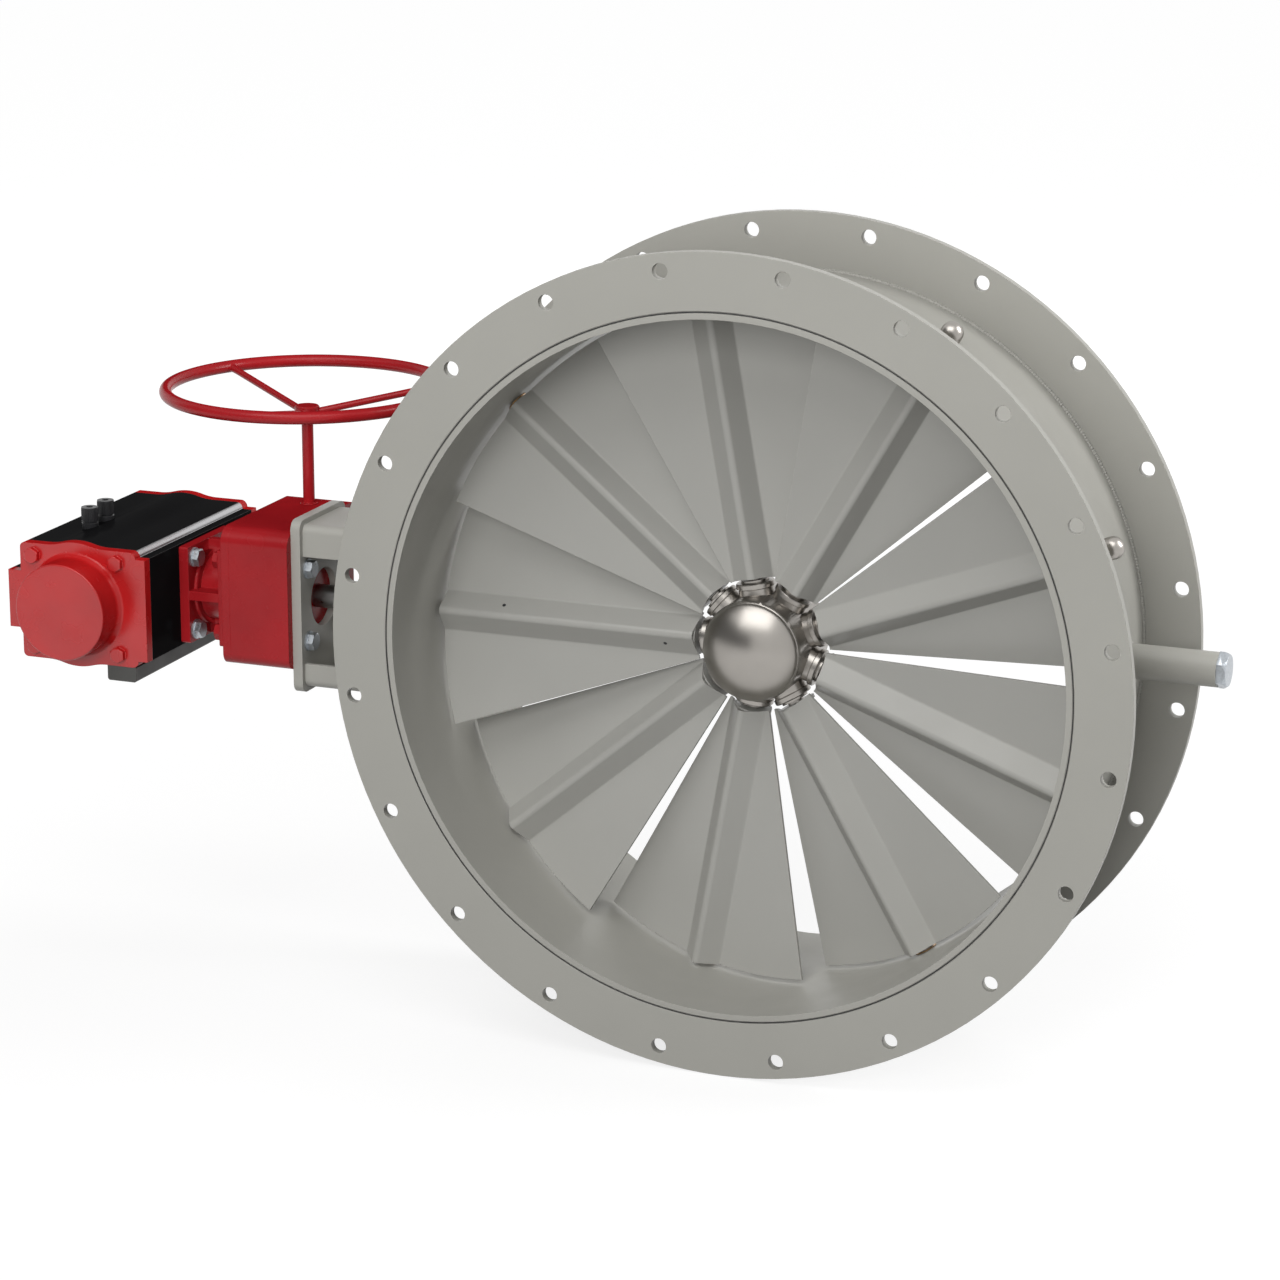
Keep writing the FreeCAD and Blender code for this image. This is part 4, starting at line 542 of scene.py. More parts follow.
class Recipe(NodeTree):
    """Geometry Nodes tree under construction, with named inputs for its sizes."""

    family = "GeometryNode"

    def __init__(self, name, **inputs):
        super().__init__(bpy.data.node_groups.new(name, "GeometryNodeTree"))
        self.new_socket("Geometry", "Geometry")
        self.new_socket("Finish", "Material")
        for label, default in inputs.items():
            kind = "Int" if isinstance(default, int) else "Float"
            self.new_socket(label.replace("_", " "), kind).default_value = default
        self.new_socket("Geometry", "Geometry", "OUTPUT")
        self.given = self.add("NodeGroupInput").outputs

    def new_socket(self, label, kind, side="INPUT"):
        """Input or output of the tree."""
        sockets = self.tree.interface
        return sockets.new_socket(label, in_out=side, socket_type="NodeSocket" + kind)

    def point(self, x=0.0, y=0.0, z=0.0):
        """Vector from three numbers."""
        return self.get("ShaderNodeCombineXYZ", {"X": x, "Y": y, "Z": z})

    def circle(self, radius, steps):
        """Closed curve with a number of points."""
        return self.get("CurvePrimitiveCircle", {"Resolution": steps, "Radius": radius})

    def cylinder(self, radius, depth, sides, bottom=0.0):
        """Upright cylinder that starts at a height."""
        values = {"Vertices": sides, "Radius": radius, "Depth": depth}
        mesh = self.get("MeshCylinder", values, "Mesh")
        return self.moved(mesh, self.point(z=self.plus(bottom, self.times(depth, 0.5))))

    def cone(self, low, high, depth, sides, bottom):
        """Upright cone that starts at a height."""
        values = {"Vertices": sides, "Radius Bottom": low, "Radius Top": high, "Depth": depth}
        return self.moved(self.get("MeshCone", values, "Mesh"), self.point(z=bottom))

    def moved(self, mesh, offset):
        """Geometry moved by an offset."""
        return self.get("Transform", {"Geometry": mesh, "Translation": offset})

    def tube(self, curve, thickness, section):
        """Section swept along a curve, thicker or thinner on the way, with closed ends."""
        curve = self.get("SetCurveRadius", {"Curve": curve, "Radius": thickness})
        values = {"Curve": curve, "Profile Curve": section, "Fill Caps": True}
        swept = self.add("CurveToMesh", values)
        if "Scale" in swept.inputs:
            self.tree.links.new(thickness, swept.inputs["Scale"])
        return swept.outputs[0]

    def hexagon(self, flats, height, bottom):
        """Upright hexagon whose top corners are turned down to a circle."""
        circle_share, chamfer_slope = 0.475, 0.58
        drum = {"Vertices": 48, "Side Segments": 2, "Radius": 1.0, "Depth": 2.0}
        mesh = self.get("MeshCylinder", drum, "Mesh")
        axes = self.add("ShaderNodeSeparateXYZ", {"Vector": self.get("InputPosition")}).outputs
        turn = self.maths("ARCTAN2", axes["Y"], axes["X"])
        sector = {0: turn, 1: math.pi / 6, 2: -math.pi / 6}
        from_flat = self.get("ShaderNodeMath", sector, operation="WRAP")
        outline = self.maths("DIVIDE", self.times(flats, 0.5), self.maths("COSINE", from_flat))
        beyond = self.minus(outline, self.times(flats, circle_share))
        is_top = self.maths("GREATER_THAN", axes["Z"], 0.5)
        is_middle = self.minus(1.0, self.maths("ABSOLUTE", axes["Z"]))
        radius = self.minus(outline, self.times(is_top, beyond))
        shoulder = self.minus(height, self.times(beyond, chamfer_slope))
        rise = self.plus(self.times(is_top, height), self.times(is_middle, shoulder))
        x = self.times(self.maths("COSINE", turn), radius)
        y = self.times(self.maths("SINE", turn), radius)
        values = {"Geometry": mesh, "Position": self.point(x, y, self.plus(rise, bottom))}
        return self.get("SetPosition", values)

    def joined(self, *meshes):
        """All the meshes as one."""
        return self.get("JoinGeometry", {"Geometry": list(meshes)})

    def placed(self, mesh):
        """The mesh at every given point, its height along the point's direction."""
        direction = self.get("InputNamedAttribute", {"Name": "facing"}, "Attribute",
                             data_type="FLOAT_VECTOR")
        turn = self.get("FunctionNodeAlignRotationToVector", {"Vector": direction}, axis="Z")
        values = {"Points": self.given["Geometry"], "Instance": mesh, "Rotation": turn}
        return self.get("InstanceOnPoints", values)

    def finish(self, geometry):
        """The tree, which ends in real geometry in the given finish."""
        real = self.get("RealizeInstances", {"Geometry": geometry})
        real = self.get("MergeByDistance", {"Geometry": real, "Distance": 1e-6})
        painted = self.get("SetMaterial", {"Geometry": real, "Material": self.given["Finish"]})
        self.add("NodeGroupOutput", {"Geometry": painted})
        return self.tree


def grow(recipe, source, name, body, slot, replaced=(), angle=CURVE_ANGLE, **sizes):
    """Runs a recipe on a mesh and keeps the result as a plain mesh on its body."""
    holder = new_object(name + "_source", source)
    modifier = holder.modifiers.new(name, "NODES")
    modifier.node_group = recipe
    for item in recipe.interface.items_tree:
        if item.in_out != "INPUT" or item.socket_type == "NodeSocketGeometry":
            continue
        label = item.name.replace(" ", "_")
        if label == "Finish":
            modifier[item.identifier] = finishes()[slot]
        elif label in sizes:
            modifier[item.identifier] = sizes[label]
    graph = bpy.context.evaluated_depsgraph_get()
    mesh = bpy.data.meshes.new_from_object(holder.evaluated_get(graph), depsgraph=graph)
    mesh.name = name
    holder.modifiers.remove(modifier)
    bpy.data.objects.remove(holder)
    if not mesh.polygons:
        raise RuntimeError(f"{name} came out with no faces")
    return new_piece(name, smooth(mesh, angle), body, slot, *replaced)


def hexagon_recipe():
    """Hexagon head with a turned chamfer, on a washer, with its shank below."""
    recipe = Recipe("Hexagon fastener", Across_flats=0.019, Head=0.008, Washer=0.024,
                    Washer_height=0.0025, Shank=0.006, Shank_length=0.02)
    given = recipe.given
    lift, below = given["Washer height"], given["Shank length"]
    hexagon = recipe.hexagon(given["Across flats"], given["Head"], lift)
    washer = recipe.cylinder(recipe.times(given["Washer"], 0.5), lift, 40)
    shank = recipe.cylinder(given["Shank"], below, 24, recipe.times(below, -1.0))
    return recipe.finish(recipe.placed(recipe.joined(hexagon, washer, shank)))


def weld_recipe():
    """Rippled weld bead along a line."""
    recipe = Recipe("Weld bead", Width=0.005, Ripple=0.0035, Unevenness=0.12, Seed=3)
    given = recipe.given
    line = recipe.get("MeshToCurve", {"Mesh": given["Geometry"]})
    values = {"Curve": line, "Length": recipe.times(given["Ripple"], 0.25)}
    even = recipe.get("ResampleCurve", values, mode="LENGTH")
    wave = recipe.maths("SINE", recipe.times(recipe.get("InputIndex"), math.pi / 2))
    values = {"Min": -1.0, "Max": 1.0, "Seed": given["Seed"]}
    uneven = recipe.get("FunctionNodeRandomValue", values, "Value", data_type="FLOAT")
    swing = recipe.times(recipe.plus(wave, recipe.times(uneven, 0.35)), given["Unevenness"])
    section = recipe.circle(recipe.times(given["Width"], 0.5), 8)
    return recipe.finish(recipe.tube(even, recipe.plus(1.0, swing), section))


def grip_recipe():
    """Upright ribs round a sleeve."""
    recipe = Recipe("Ribbed grip", Radius=0.0095, Height=0.015, Ribs=30, Rib=0.0006)
    given = recipe.given
    ring = recipe.get("MeshCircle", {"Vertices": given["Ribs"], "Radius": given["Radius"]})
    rib = recipe.cylinder(given["Rib"], given["Height"], 6)
    ribs = recipe.get("InstanceOnPoints", {"Points": ring, "Instance": rib})
    return recipe.finish(recipe.placed(ribs))


def pin_recipe():
    """Low domed pin heads."""
    recipe = Recipe("Saddle pin", Diameter=0.005, Rise=0.35)
    given = recipe.given
    radius = recipe.times(given["Diameter"], 0.5)
    ball = recipe.get("MeshUVSphere", {"Segments": 16, "Rings": 8, "Radius": radius})
    values = {"Geometry": ball, "Scale": recipe.point(1.0, 1.0, given["Rise"])}
    return recipe.finish(recipe.placed(recipe.get("Transform", values)))


def boss_recipe():
    """Turned boss with a collar at its outer end."""
    recipe = Recipe("Hub boss", Start=0.053, Neck=0.0645, End=0.072, Radius=0.0205,
                    Collar=0.0225, Edge=0.0012)
    given = recipe.given
    start, neck, end, edge = given["Start"], given["Neck"], given["End"], given["Edge"]
    radius, collar = given["Radius"], given["Collar"]
    sides = 72
    body = recipe.cylinder(radius, recipe.minus(neck, start), sides, start)
    shoulder = recipe.cone(radius, collar, edge, sides, neck)
    ring_start, ring_end = recipe.plus(neck, edge), recipe.minus(end, edge)
    ring = recipe.cylinder(collar, recipe.minus(ring_end, ring_start), sides, ring_start)
    rim = recipe.cone(collar, recipe.minus(collar, edge), edge, sides, ring_end)
    return recipe.finish(recipe.placed(recipe.joined(body, shoulder, ring, rim)))


def handwheel_recipe():
    """Tube rim on dished spokes that meet at a hub."""
    recipe = Recipe("Handwheel", Rim_radius=0.1685, Tube=0.015, Spokes=3, First_spoke=30.0,
                    Spoke=0.010, Dish=0.030, Hub=0.030, Hub_height=0.019)
    given = recipe.given
    rim_radius, height = given["Rim radius"], given["Hub height"]
    line = recipe.circle(rim_radius, 160)
    section = recipe.circle(recipe.times(given["Tube"], 0.5), 28)
    rim = recipe.get("CurveToMesh", {"Curve": line, "Profile Curve": section})
    drop = recipe.times(given["Dish"], -1.0)
    inside_hub = 0.004
    ends = {"Start": recipe.point(inside_hub, 0.0, drop), "End": recipe.point(rim_radius)}
    run = recipe.get("CurvePrimitiveLine", ends)
    run = recipe.get("ResampleCurve", {"Curve": run, "Count": 40}, mode="COUNT")
    flare, flare_share, flare_fade = 0.15, 0.05, 38.0
    from_rim = recipe.minus(1.0, recipe.get("SplineParameter", output="Factor"))
    fade = recipe.times(recipe.minus(from_rim, flare_share), -flare_fade)
    wider = recipe.maths("MINIMUM", recipe.maths("POWER", 2.718, fade), 1.0)
    bar = recipe.circle(recipe.times(given["Spoke"], 0.5), 20)
    spoke = recipe.tube(run, recipe.plus(1.0, recipe.times(wider, flare)), bar)
    row = recipe.get("MeshLine", {"Count": given["Spokes"], "Offset": (0.0, 0.0, 0.0)})
    step = recipe.maths("DIVIDE", 360.0, given["Spokes"])
    turn = recipe.plus(given["First spoke"], recipe.times(recipe.get("InputIndex"), step))
    spin = recipe.point(z=recipe.maths("RADIANS", turn))
    values = {"Points": row, "Instance": spoke, "Rotation": spin}
    spokes = recipe.get("InstanceOnPoints", values)
    chamfer, sides = 0.0015, 64
    hub = recipe.times(given["Hub"], 0.5)
    narrow = recipe.minus(hub, chamfer)
    bottom = recipe.minus(drop, recipe.times(height, 0.5))
    top_edge = recipe.plus(bottom, recipe.minus(height, chamfer))
    core = recipe.cylinder(hub, recipe.minus(height, 2 * chamfer), sides,
                           recipe.plus(bottom, chamfer))
    top = recipe.cone(hub, narrow, chamfer, sides, top_edge)
    low = recipe.cone(narrow, hub, chamfer, sides, bottom)
    return recipe.finish(recipe.placed(recipe.joined(rim, spokes, core, top, low)))


# Pieces


def vane_turn(index):
    """Rotation that takes the +X direction to a vane's own direction."""
    return Matrix.Rotation(-math.radians(180.0 - VANE_STEP * index), 4, "Y")


def circle_places(radius, y, count=180):
    """Points round the duct axis."""
    turns = [2 * math.pi * step / count for step in range(count)]
    return [(radius * math.cos(turn), y, radius * math.sin(turn)) for turn in turns]


def nozzle_line(outer, count=60):
    """Line on the casing round the foot of the nozzle."""
    low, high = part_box("nozzle_pipe")
    radius = (high.z - low.z) / 2
    middle = (low + high) / 2
    places = []
    for step in range(count):
        turn = 2 * math.pi * step / count
        z = radius * math.sin(turn)
        x = math.sqrt(outer ** 2 - z ** 2)
        places.append((x, middle.y + radius * math.cos(turn), z))
    return places


def bracket_line(outer, corner=0.010, steps=6, runs=14):
    """Line on the casing round the foot of the drive bracket."""
    low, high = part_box("drive_bracket")
    corners = [(high.y, high.z, 0), (low.y, high.z, 90), (low.y, low.z, 180), (high.y, low.z, 270)]
    outline = []
    for y, z, start in corners:
        middle_y = y - math.copysign(corner, y - SHAFT_PLANE)
        middle_z = z - math.copysign(corner, z)
        outline += arc_points((middle_y, middle_z), corner, start, start + 90.0, steps)
    places = []
    for first, second in zip(outline, outline[1:] + outline[:1]):
        parts = runs if math.dist(first, second) > corner else 1
        for part in range(parts):
            y = first[0] + (second[0] - first[0]) * part / parts
            z = first[1] + (second[1] - first[1]) * part / parts
            places.append((-math.sqrt(outer ** 2 - z ** 2), y, z))
    return places


class DAMPER_OT_casing(bpy.types.Operator):
    """Flanged casing with its weld beads, inlet seal and side nozzle"""

    bl_idname = "damper.casing"
    bl_label = "Casing and flanges"

    def execute(self, context):
        sizes = context.scene.damper_sizes
        smoothed_copies({"casing_shell": "casing_barrel", "inlet_flange": "inlet_flange_ring",
                         "outlet_flange": "outlet_flange_ring", "nozzle_pipe": "nozzle_tube",
                         "nozzle_plug": "nozzle_hex_plug"})
        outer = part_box("casing_shell")[1].x
        face, near = (corner.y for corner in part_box("inlet_flange"))
        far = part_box("outlet_flange")[0].y
        sunk = 0.0002
        bead = {"Width": sizes.weld_width, "Ripple": sizes.weld_ripple}
        seal = {"Width": sizes.seal_width, "Ripple": 0.02, "Unevenness": 0.0}
        lines = (
            ("inlet_weld", circle_places(outer, near), "casing_paint", bead),
            ("outlet_weld", circle_places(outer, far), "casing_paint", bead),
            ("inlet_seal_line", circle_places(outer, face + sunk), "black_plastic", seal),
            ("nozzle_weld", nozzle_line(outer), "casing_paint", bead),
            ("bracket_weld", bracket_line(outer), "casing_paint", bead),
        )
        weld = weld_recipe()
        for name, places, slot, settings in lines:
            grow(weld, ring_mesh(name + "_path", places), name, "root", slot, **settings)
        return {"FINISHED"}


class DAMPER_OT_vanes(bpy.types.Operator):
    """Nine folded vanes on their shafts, with the pins of the saddles"""

    bl_idname = "damper.vanes"
    bl_label = "Vanes and shafts"

    def execute(self, context):
        for number in range(1, VANE_COUNT + 1):
            vane = f"vane_{number}"
            smoothed_copies({vane: vane + "_sheet", vane + "_shaft": vane + "_spindle"})
            smoothed_copies({vane + "_pinion": vane + "_bevel_gear"}, CRISP_ANGLE)
        grow(pin_recipe(), self.pin_seats(), "drive_vane_pins", "drive", "black_plastic",
             Diameter=context.scene.damper_sizes.pin_diameter)
        return {"FINISHED"}

    def pin_seats(self):
        """Pin places on the ridge of the drive vane, and the way they face."""
        opening = Matrix.Rotation(math.radians(REST_OPENING), 4, "X")
        places, directions = [], []
        for radius, side in PIN_PLACES:
            slope = Vector((0.0, -1.0, side)).normalized()
            middle = Vector((radius, -RIDGE_FOOT - RIDGE_SLOPE, side * RIDGE_SLOPE))
            place = HUB_CENTRE + opening @ (middle + slope * PIN_LIFT)
            places.append(vane_turn(0) @ place)
            directions.append(vane_turn(0) @ (opening @ slope))
        return seat_mesh("drive_pin_places", places, directions)


class DAMPER_OT_hub(bpy.types.Operator):
    """Polished hub with its bosses, front dome, bushes and bevel gears"""

    bl_idname = "damper.hub"
    bl_label = "Hub"

    def execute(self, context):
        smoothed_copies({"hub_body": "hub_barrel"}, 25.0)
        directions = [vane_turn(index) @ Vector((1.0, 0.0, 0.0)) for index in range(VANE_COUNT)]
        source = seat_mesh("boss_places", [HUB_CENTRE] * VANE_COUNT, directions)
        grow(boss_recipe(), source, "hub_bosses", "root", "polished_steel")
        self.make_dome()
        smoothed_copies({"casing_bushes": "casing_bush_rims", "hub_bushes": "hub_bush_rims",
                         "hub_rear_cover": "hub_back_cover", "crown_pivot": "crown_pivot_screw"})
        smoothed_copies({"crown_gear": "crown_bevel_gear"}, CRISP_ANGLE)
        return {"FINISHED"}

    def make_dome(self):
        """Polished dome with a rounded rim, hollow behind."""
        low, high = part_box("hub_front_dome")
        rim_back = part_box("hub_body")[0].y
        overhang, rise, edge, lip = 0.0027, 0.025, 0.0012, 0.006
        rim, lip_outside, lip_inside = high.x + overhang, high.x - 0.0042, high.x - 0.0072
        ball = (rim ** 2 + rise ** 2) / (2 * rise)
        half = math.degrees(math.asin(rim / ball))
        front = arc_points((low.y + ball, 0.0), ball, 180.0, 180.0 - half, 40)
        along, radius = front[-1]
        profile = front[:-1] + [(along, radius - edge * 0.2), (along + edge * 0.5, radius)]
        profile += [(rim_back, radius), (rim_back, lip_outside), (rim_back + lip, lip_outside)]
        profile += [(rim_back + lip, lip_inside), (rim_back, lip_inside)]
        profile += [(rim_back - 0.012, lip_inside * 0.72), (low.y + 0.003, 0.0)]
        mesh = turned_mesh("hub_polished_dome", profile, (0.0, 0.0, 0.0), (0.0, 1.0, 0.0), 128)
        new_piece("hub_polished_dome", mesh, "root", "polished_steel", "hub_front_dome")


class DAMPER_OT_bracket(bpy.types.Operator):
    """Drive bracket with its end plate and the coupling inside"""

    bl_idname = "damper.bracket"
    bl_label = "Drive bracket"

    def execute(self, context):
        smoothed_copies({"drive_bracket": "bracket_box", "bracket_plate": "bracket_end_plate",
                         "drive_coupling": "coupling_sleeve"})
        return {"FINISHED"}


class DAMPER_OT_fasteners(bpy.types.Operator):
    """Hexagon bolts with washers and the screws of the end caps"""

    bl_idname = "damper.fasteners"
    bl_label = "Bolts and screws"

    def execute(self, context):
        sizes = context.scene.damper_sizes
        bolt = {"Across_flats": sizes.bolt_flats, "Head": sizes.bolt_head,
                "Washer": sizes.washer_diameter}
        collar = 0.0008
        screw = {"Across_flats": sizes.screw_flats, "Head": sizes.screw_head - collar,
                 "Washer": sizes.screw_flats * 1.18, "Washer_height": collar, "Shank": 0.005,
                 "Shank_length": 0.034}
        half = BOLT_CIRCLE / 2 / math.sqrt(2)
        groups = (
            ("interface_bolts", "zinc_steel", ("flange_bolts",), half, BARE_BOLT_SEATS, bolt),
            ("painted_gearbox_bolts", "red_paint", (), half, PAINTED_BOLT_SEATS, bolt),
            ("end_cap_screws", "red_cap", ("cap_screws",), CAP_SCREW_OFFSET, CAP_SCREW_SEATS,
             screw),
        )
        recipe = hexagon_recipe()
        for name, slot, replaced, offset, seats, settings in groups:
            places, directions = self.square_seats(seats, offset)
            source = seat_mesh(name + "_places", places, directions)
            grow(recipe, source, name, "root", slot, replaced, CRISP_ANGLE, **settings)
        return {"FINISHED"}

    def square_seats(self, seats, offset):
        """Four places in a square round each seat, and the way they face."""
        places, directions = [], []
        for (x, y, z), facing in seats:
            aside_x, aside_y = (0.0, offset) if facing[0] else (offset, 0.0)
            for side, level in ((-1, -1), (-1, 1), (1, -1), (1, 1)):
                places.append((x + side * aside_x, y + side * aside_y, z + level * offset))
                directions.append(facing)
        return places, directions


class DAMPER_OT_gearbox(bpy.types.Operator):
    """Manual override gearbox with its worm gear"""

    bl_idname = "damper.gearbox"
    bl_label = "Override gearbox"

    def execute(self, context):
        smoothed_copies({"gearbox_housing": "gearbox_case", "gearbox_cover": "gearbox_side_cover",
                         "gearbox_stem": "gearbox_drive_stem",
                         "worm_bushes": "worm_bearing_bushes"})
        smoothed_copies({"worm_wheel": "worm_gear_wheel"}, CRISP_ANGLE)
        return {"FINISHED"}


class DAMPER_OT_handwheel(bpy.types.Operator):
    """Handwheel on the worm shaft"""

    bl_idname = "damper.handwheel"
    bl_label = "Handwheel"

    def execute(self, context):
        sizes = context.scene.damper_sizes
        low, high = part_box("handwheel")
        centre = (low + high) / 2
        centre.z = high.z - sizes.rim_tube / 2
        source = seat_mesh("handwheel_place", [centre], [(0.0, 0.0, 1.0)])
        grow(handwheel_recipe(), source, "override_handwheel", "handwheel_set", "red_paint",
             ("handwheel",), 35.0, Rim_radius=(high.x - low.x - sizes.rim_tube) / 2,
             Tube=sizes.rim_tube, Spokes=sizes.spoke_count, Spoke=sizes.spoke_diameter)
        smoothed_copies({"worm_shaft": "handwheel_spindle"})
        self.paint_stem()
        return {"FINISHED"}

    def paint_stem(self):
        """Enamel on the part of the spindle that shows, with a seal ring at its foot."""
        low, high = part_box("worm_shaft")
        foot = max(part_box("gearbox_housing")[1].z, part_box("worm_bushes")[1].z) + 0.0003
        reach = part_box("handwheel")[0].z + 0.001
        centre = ((low.x + high.x) / 2, (low.y + high.y) / 2, 0.0)
        inside, coat, ring, ring_height, ring_chamfer = 0.006, 0.00708, 0.0112, 0.0010, 0.0006
        ring_top = foot + ring_height
        profile = [(foot, inside), (foot, ring), (ring_top, ring - ring_chamfer),
                   (ring_top, coat), (reach, coat), (reach, inside)]
        mesh = turned_mesh("handwheel_stem_coat", profile, centre, (0.0, 0.0, 1.0), 48)
        new_piece("handwheel_stem_coat", mesh, "handwheel_set", "red_paint")


class DAMPER_OT_spool(bpy.types.Operator):
    """Spool between the gearbox and the actuator"""

    bl_idname = "damper.spool"
    bl_label = "Adapter spool"

    def execute(self, context):
        smoothed_copies({"adapter_spool": "spool_casting"})
        return {"FINISHED"}


class DAMPER_OT_actuator(bpy.types.Operator):
    """Pneumatic actuator with its end caps, fittings, rail and inner parts"""

    bl_idname = "damper.actuator"
    bl_label = "Actuator"

    def execute(self, context):
        smoothed_copies({
            "actuator_body": "actuator_extrusion", "actuator_end_cap_near": "end_cap_near",
            "actuator_end_cap_far": "end_cap_far", "actuator_rail": "mounting_rail",
            "air_fittings": "air_fitting_sleeves", "piston_far": "far_rack_piston",
            "piston_near": "near_rack_piston",
        }, CASTING_ANGLE)
        for name, side in (("end_cap_near", -1), ("end_cap_far", 1)):
            self.widen_boss(bpy.data.objects[name].data, side)
        smoothed_copies({"actuator_pinion": "actuator_drive_pinion"}, CRISP_ANGLE)
        upright = [(0.0, 0.0, 1.0)] * len(FITTING_PLACES)
        source = seat_mesh("grip_places", FITTING_PLACES, upright)
        grow(grip_recipe(), source, "fitting_grip_ribs", "root", "black_plastic", (), 60.0,
             Radius=0.0098, Height=0.0140, Ribs=context.scene.damper_sizes.grip_ribs)
        return {"FINISHED"}

    def widen_boss(self, mesh, side):
        """Moves the round wall of an end cap's boss outwards."""
        plate_face = SHAFT_PLANE + side * 0.145
        core, rim, fade, growth = 0.050, 0.0645, 0.008, 0.0042
        for vertex in mesh.vertices:
            across, up = vertex.co.x - ACTUATOR_X, vertex.co.z
            radius = math.hypot(across, up)
            if side * (vertex.co.y - plate_face) < 0.0002 or radius < core:
                continue
            share = max(0.0, min(1.0, (rim - radius) / fade))
            wider = 1.0 + growth * share / radius
            vertex.co.x = across * wider + ACTUATOR_X
            vertex.co.z = up * wider


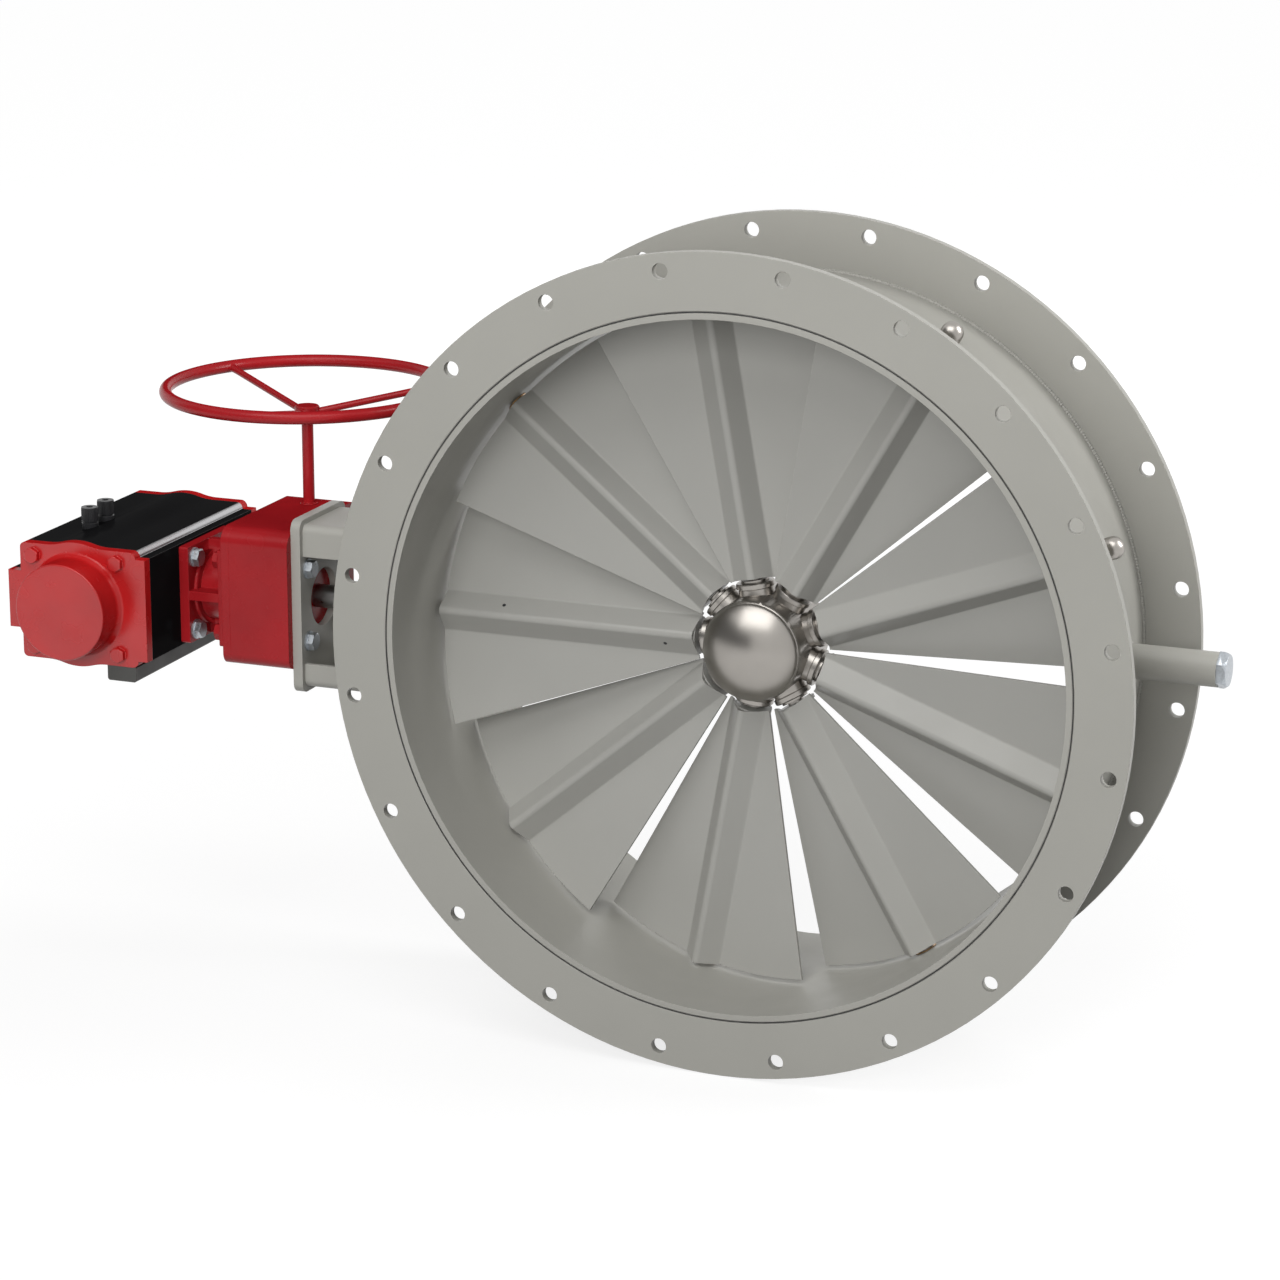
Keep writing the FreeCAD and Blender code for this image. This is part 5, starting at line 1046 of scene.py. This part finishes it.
class DAMPER_OT_stage(bpy.types.Operator):
    """Pale floor and room, four soft lamps, a grey card and the camera"""

    bl_idname = "damper.stage"
    bl_label = "Studio"

    def execute(self, context):
        studio = context.scene.damper_studio
        self.make_room(context.scene, studio.room_light)
        self.make_floor(studio.floor_size / 2)
        self.make_card()
        lamps = (
            ("Key", (-0.1, -1.75, 2.9), (0.0, 0.1, 0.0), (3.3, 2.3), studio.key_power),
            ("Fill", (0.35, -5.0, 1.6), (0.0, 0.1, 0.0), (3.0, 2.4), studio.fill_power),
            ("Side", (2.8, 0.9, 1.7), (0.2, 0.1, 0.0), (1.2, 2.0), studio.side_power),
            ("Back", (-0.9, 4.8, 1.9), (0.0, 0.1, 0.0), (2.6, 2.2), studio.back_power),
        )
        for name, place, target, size, watts in lamps:
            lamp = self.make_lamp(name, place, target, size, watts)
            lamp.visible_glossy = name in ("Key", "Side")
        self.make_camera(context.scene, studio.lens)
        context.scene.view_settings.view_transform = "Standard"
        return {"FINISHED"}

    def make_room(self, scene, dim):
        """Even room light, white wherever the camera or a reflection sees it."""
        scene.world = bpy.data.worlds.new("Pale room")
        scene.world.use_nodes = True
        room = NodeTree(scene.world.node_tree)
        rays = room.add("LightPath").outputs
        seen = room.maths("MAXIMUM", rays["Is Camera Ray"], rays["Is Glossy Ray"])
        seen = room.maths("MAXIMUM", seen, rays["Is Transmission Ray"])
        strength = room.get("MapRange", {"Value": seen, "To Min": dim, "To Max": 1.0}, "Result")
        light = room.get("Background", {"Color": grey(1.0), "Strength": strength})
        room.add("OutputWorld", {"Surface": light})

    def make_floor(self, half):
        """Pale floor that keeps the shadow of the damper."""
        paint = Shader("Pale floor")
        rays = paint.add("LightPath").outputs
        seen = paint.maths("MAXIMUM", rays["Is Camera Ray"], rays["Is Glossy Ray"])
        reach = paint.get("VectorMath", {0: paint.place}, "Value", operation="LENGTH")
        near, far, near_glow, far_glow = 1.0, 5.0, 0.80, 0.97
        rise = paint.spread(reach, near_glow, far_glow, near, far)
        glow = paint.get("Emission", {"Strength": paint.times(seen, rise)})
        matt = paint.get("BsdfDiffuse", {"Color": grey(0.25)})
        material = paint.show(paint.get("AddShader", {0: matt, 1: glow}))
        level = CAD_BOX[0][2] - 0.0005
        corners = [(-half, -half, level), (half, -half, level), (half, half, level),
                   (-half, half, level)]
        self.new_sheet("floor", corners, [(0, 1, 2, 3)], material)

    def make_card(self):
        """Grey card to the left of the camera, seen only in reflections."""
        paint = Shader("Grey card")
        material = paint.show(paint.get("Emission", {"Color": grey(0.17)}))
        bottom = 0.1
        line = ((-6.0, 0.6, 4.6), (-4.9, -2.2, 4.0), (-2.9, -4.2, 3.1), (-0.4, -5.1, 2.3))
        corners = [(x, y, bottom) for x, y, top in line] + list(line)
        faces = [(step, step + 1, step + 5, step + 4) for step in range(3)]
        card = self.new_sheet("flag", corners, faces, material)
        card.visible_camera = card.visible_diffuse = card.visible_shadow = False
        card.visible_transmission = card.visible_volume_scatter = False

    def new_sheet(self, name, corners, faces, material):
        """Flat piece of the studio."""
        mesh = bpy.data.meshes.new(name)
        mesh.from_pydata(corners, [], faces)
        mesh.materials.append(material)
        return new_object(name, mesh)

    def make_lamp(self, name, place, target, size, watts):
        """Rectangular soft lamp that looks at a point."""
        lamp = bpy.data.lights.new(name, "AREA")
        lamp.shape = "RECTANGLE"
        lamp.size, lamp.size_y = size
        lamp.energy = watts
        holder = new_object(name, lamp)
        holder.location = place
        view = Vector(target) - Vector(place)
        holder.rotation_euler = view.to_track_quat("-Z", "Y").to_euler()
        return holder

    def make_camera(self, scene, lens):
        """Camera to the right of the inlet, looking down at the hub."""
        right = Vector((0.92911, 0.36980, 0.0))
        up = Vector((-0.09740, 0.24473, 0.96469))
        back = right.cross(up)
        camera = bpy.data.cameras.new("Camera")
        camera.lens = lens
        camera.sensor_width = 36.0
        camera.clip_end = 100.0
        pose = Matrix((right, up, back)).transposed().to_4x4()
        pose.translation = Vector((1.5731, -4.1890, 1.2616))
        scene.camera = new_object("Camera", camera)
        scene.camera.matrix_world = pose


class DAMPER_PT_panel(bpy.types.Panel):
    """Sidebar panel with the damper's settings and steps"""

    bl_idname = "DAMPER_PT_panel"
    bl_label = "Volume Control Damper"
    bl_space_type = "VIEW_3D"
    bl_region_type = "UI"
    bl_category = "Damper"

    def draw(self, context):
        scene = context.scene
        for group in (scene.damper_sizes, scene.damper_colours, scene.damper_studio):
            box = self.layout.box()
            for name in group.bl_rna.properties.keys():
                if name not in ("rna_type", "name"):
                    box.prop(group, name)
        for step in STEPS:
            self.layout.operator(step.bl_idname)


STEPS = (DAMPER_OT_stage, DAMPER_OT_casing, DAMPER_OT_vanes, DAMPER_OT_hub, DAMPER_OT_bracket,
         DAMPER_OT_fasteners, DAMPER_OT_gearbox, DAMPER_OT_handwheel, DAMPER_OT_spool,
         DAMPER_OT_actuator)
CLASSES = (DamperColours, DamperSizes, DamperStudio) + STEPS + (DAMPER_PT_panel,)


def register():
    for item in CLASSES:
        bpy.utils.register_class(item)
    bpy.types.Scene.damper_colours = PointerProperty(type=DamperColours)
    bpy.types.Scene.damper_sizes = PointerProperty(type=DamperSizes)
    bpy.types.Scene.damper_studio = PointerProperty(type=DamperStudio)


def unregister():
    del bpy.types.Scene.damper_studio
    del bpy.types.Scene.damper_sizes
    del bpy.types.Scene.damper_colours
    for item in reversed(CLASSES):
        bpy.utils.unregister_class(item)


def main():
    register()
    bpy.ops.damper.stage()
    bpy.ops.damper.casing()
    bpy.ops.damper.vanes()
    bpy.ops.damper.hub()
    bpy.ops.damper.bracket()
    bpy.ops.damper.fasteners()
    bpy.ops.damper.gearbox()
    bpy.ops.damper.handwheel()
    bpy.ops.damper.spool()
    bpy.ops.damper.actuator()


if __name__ == "__main__":
    main()
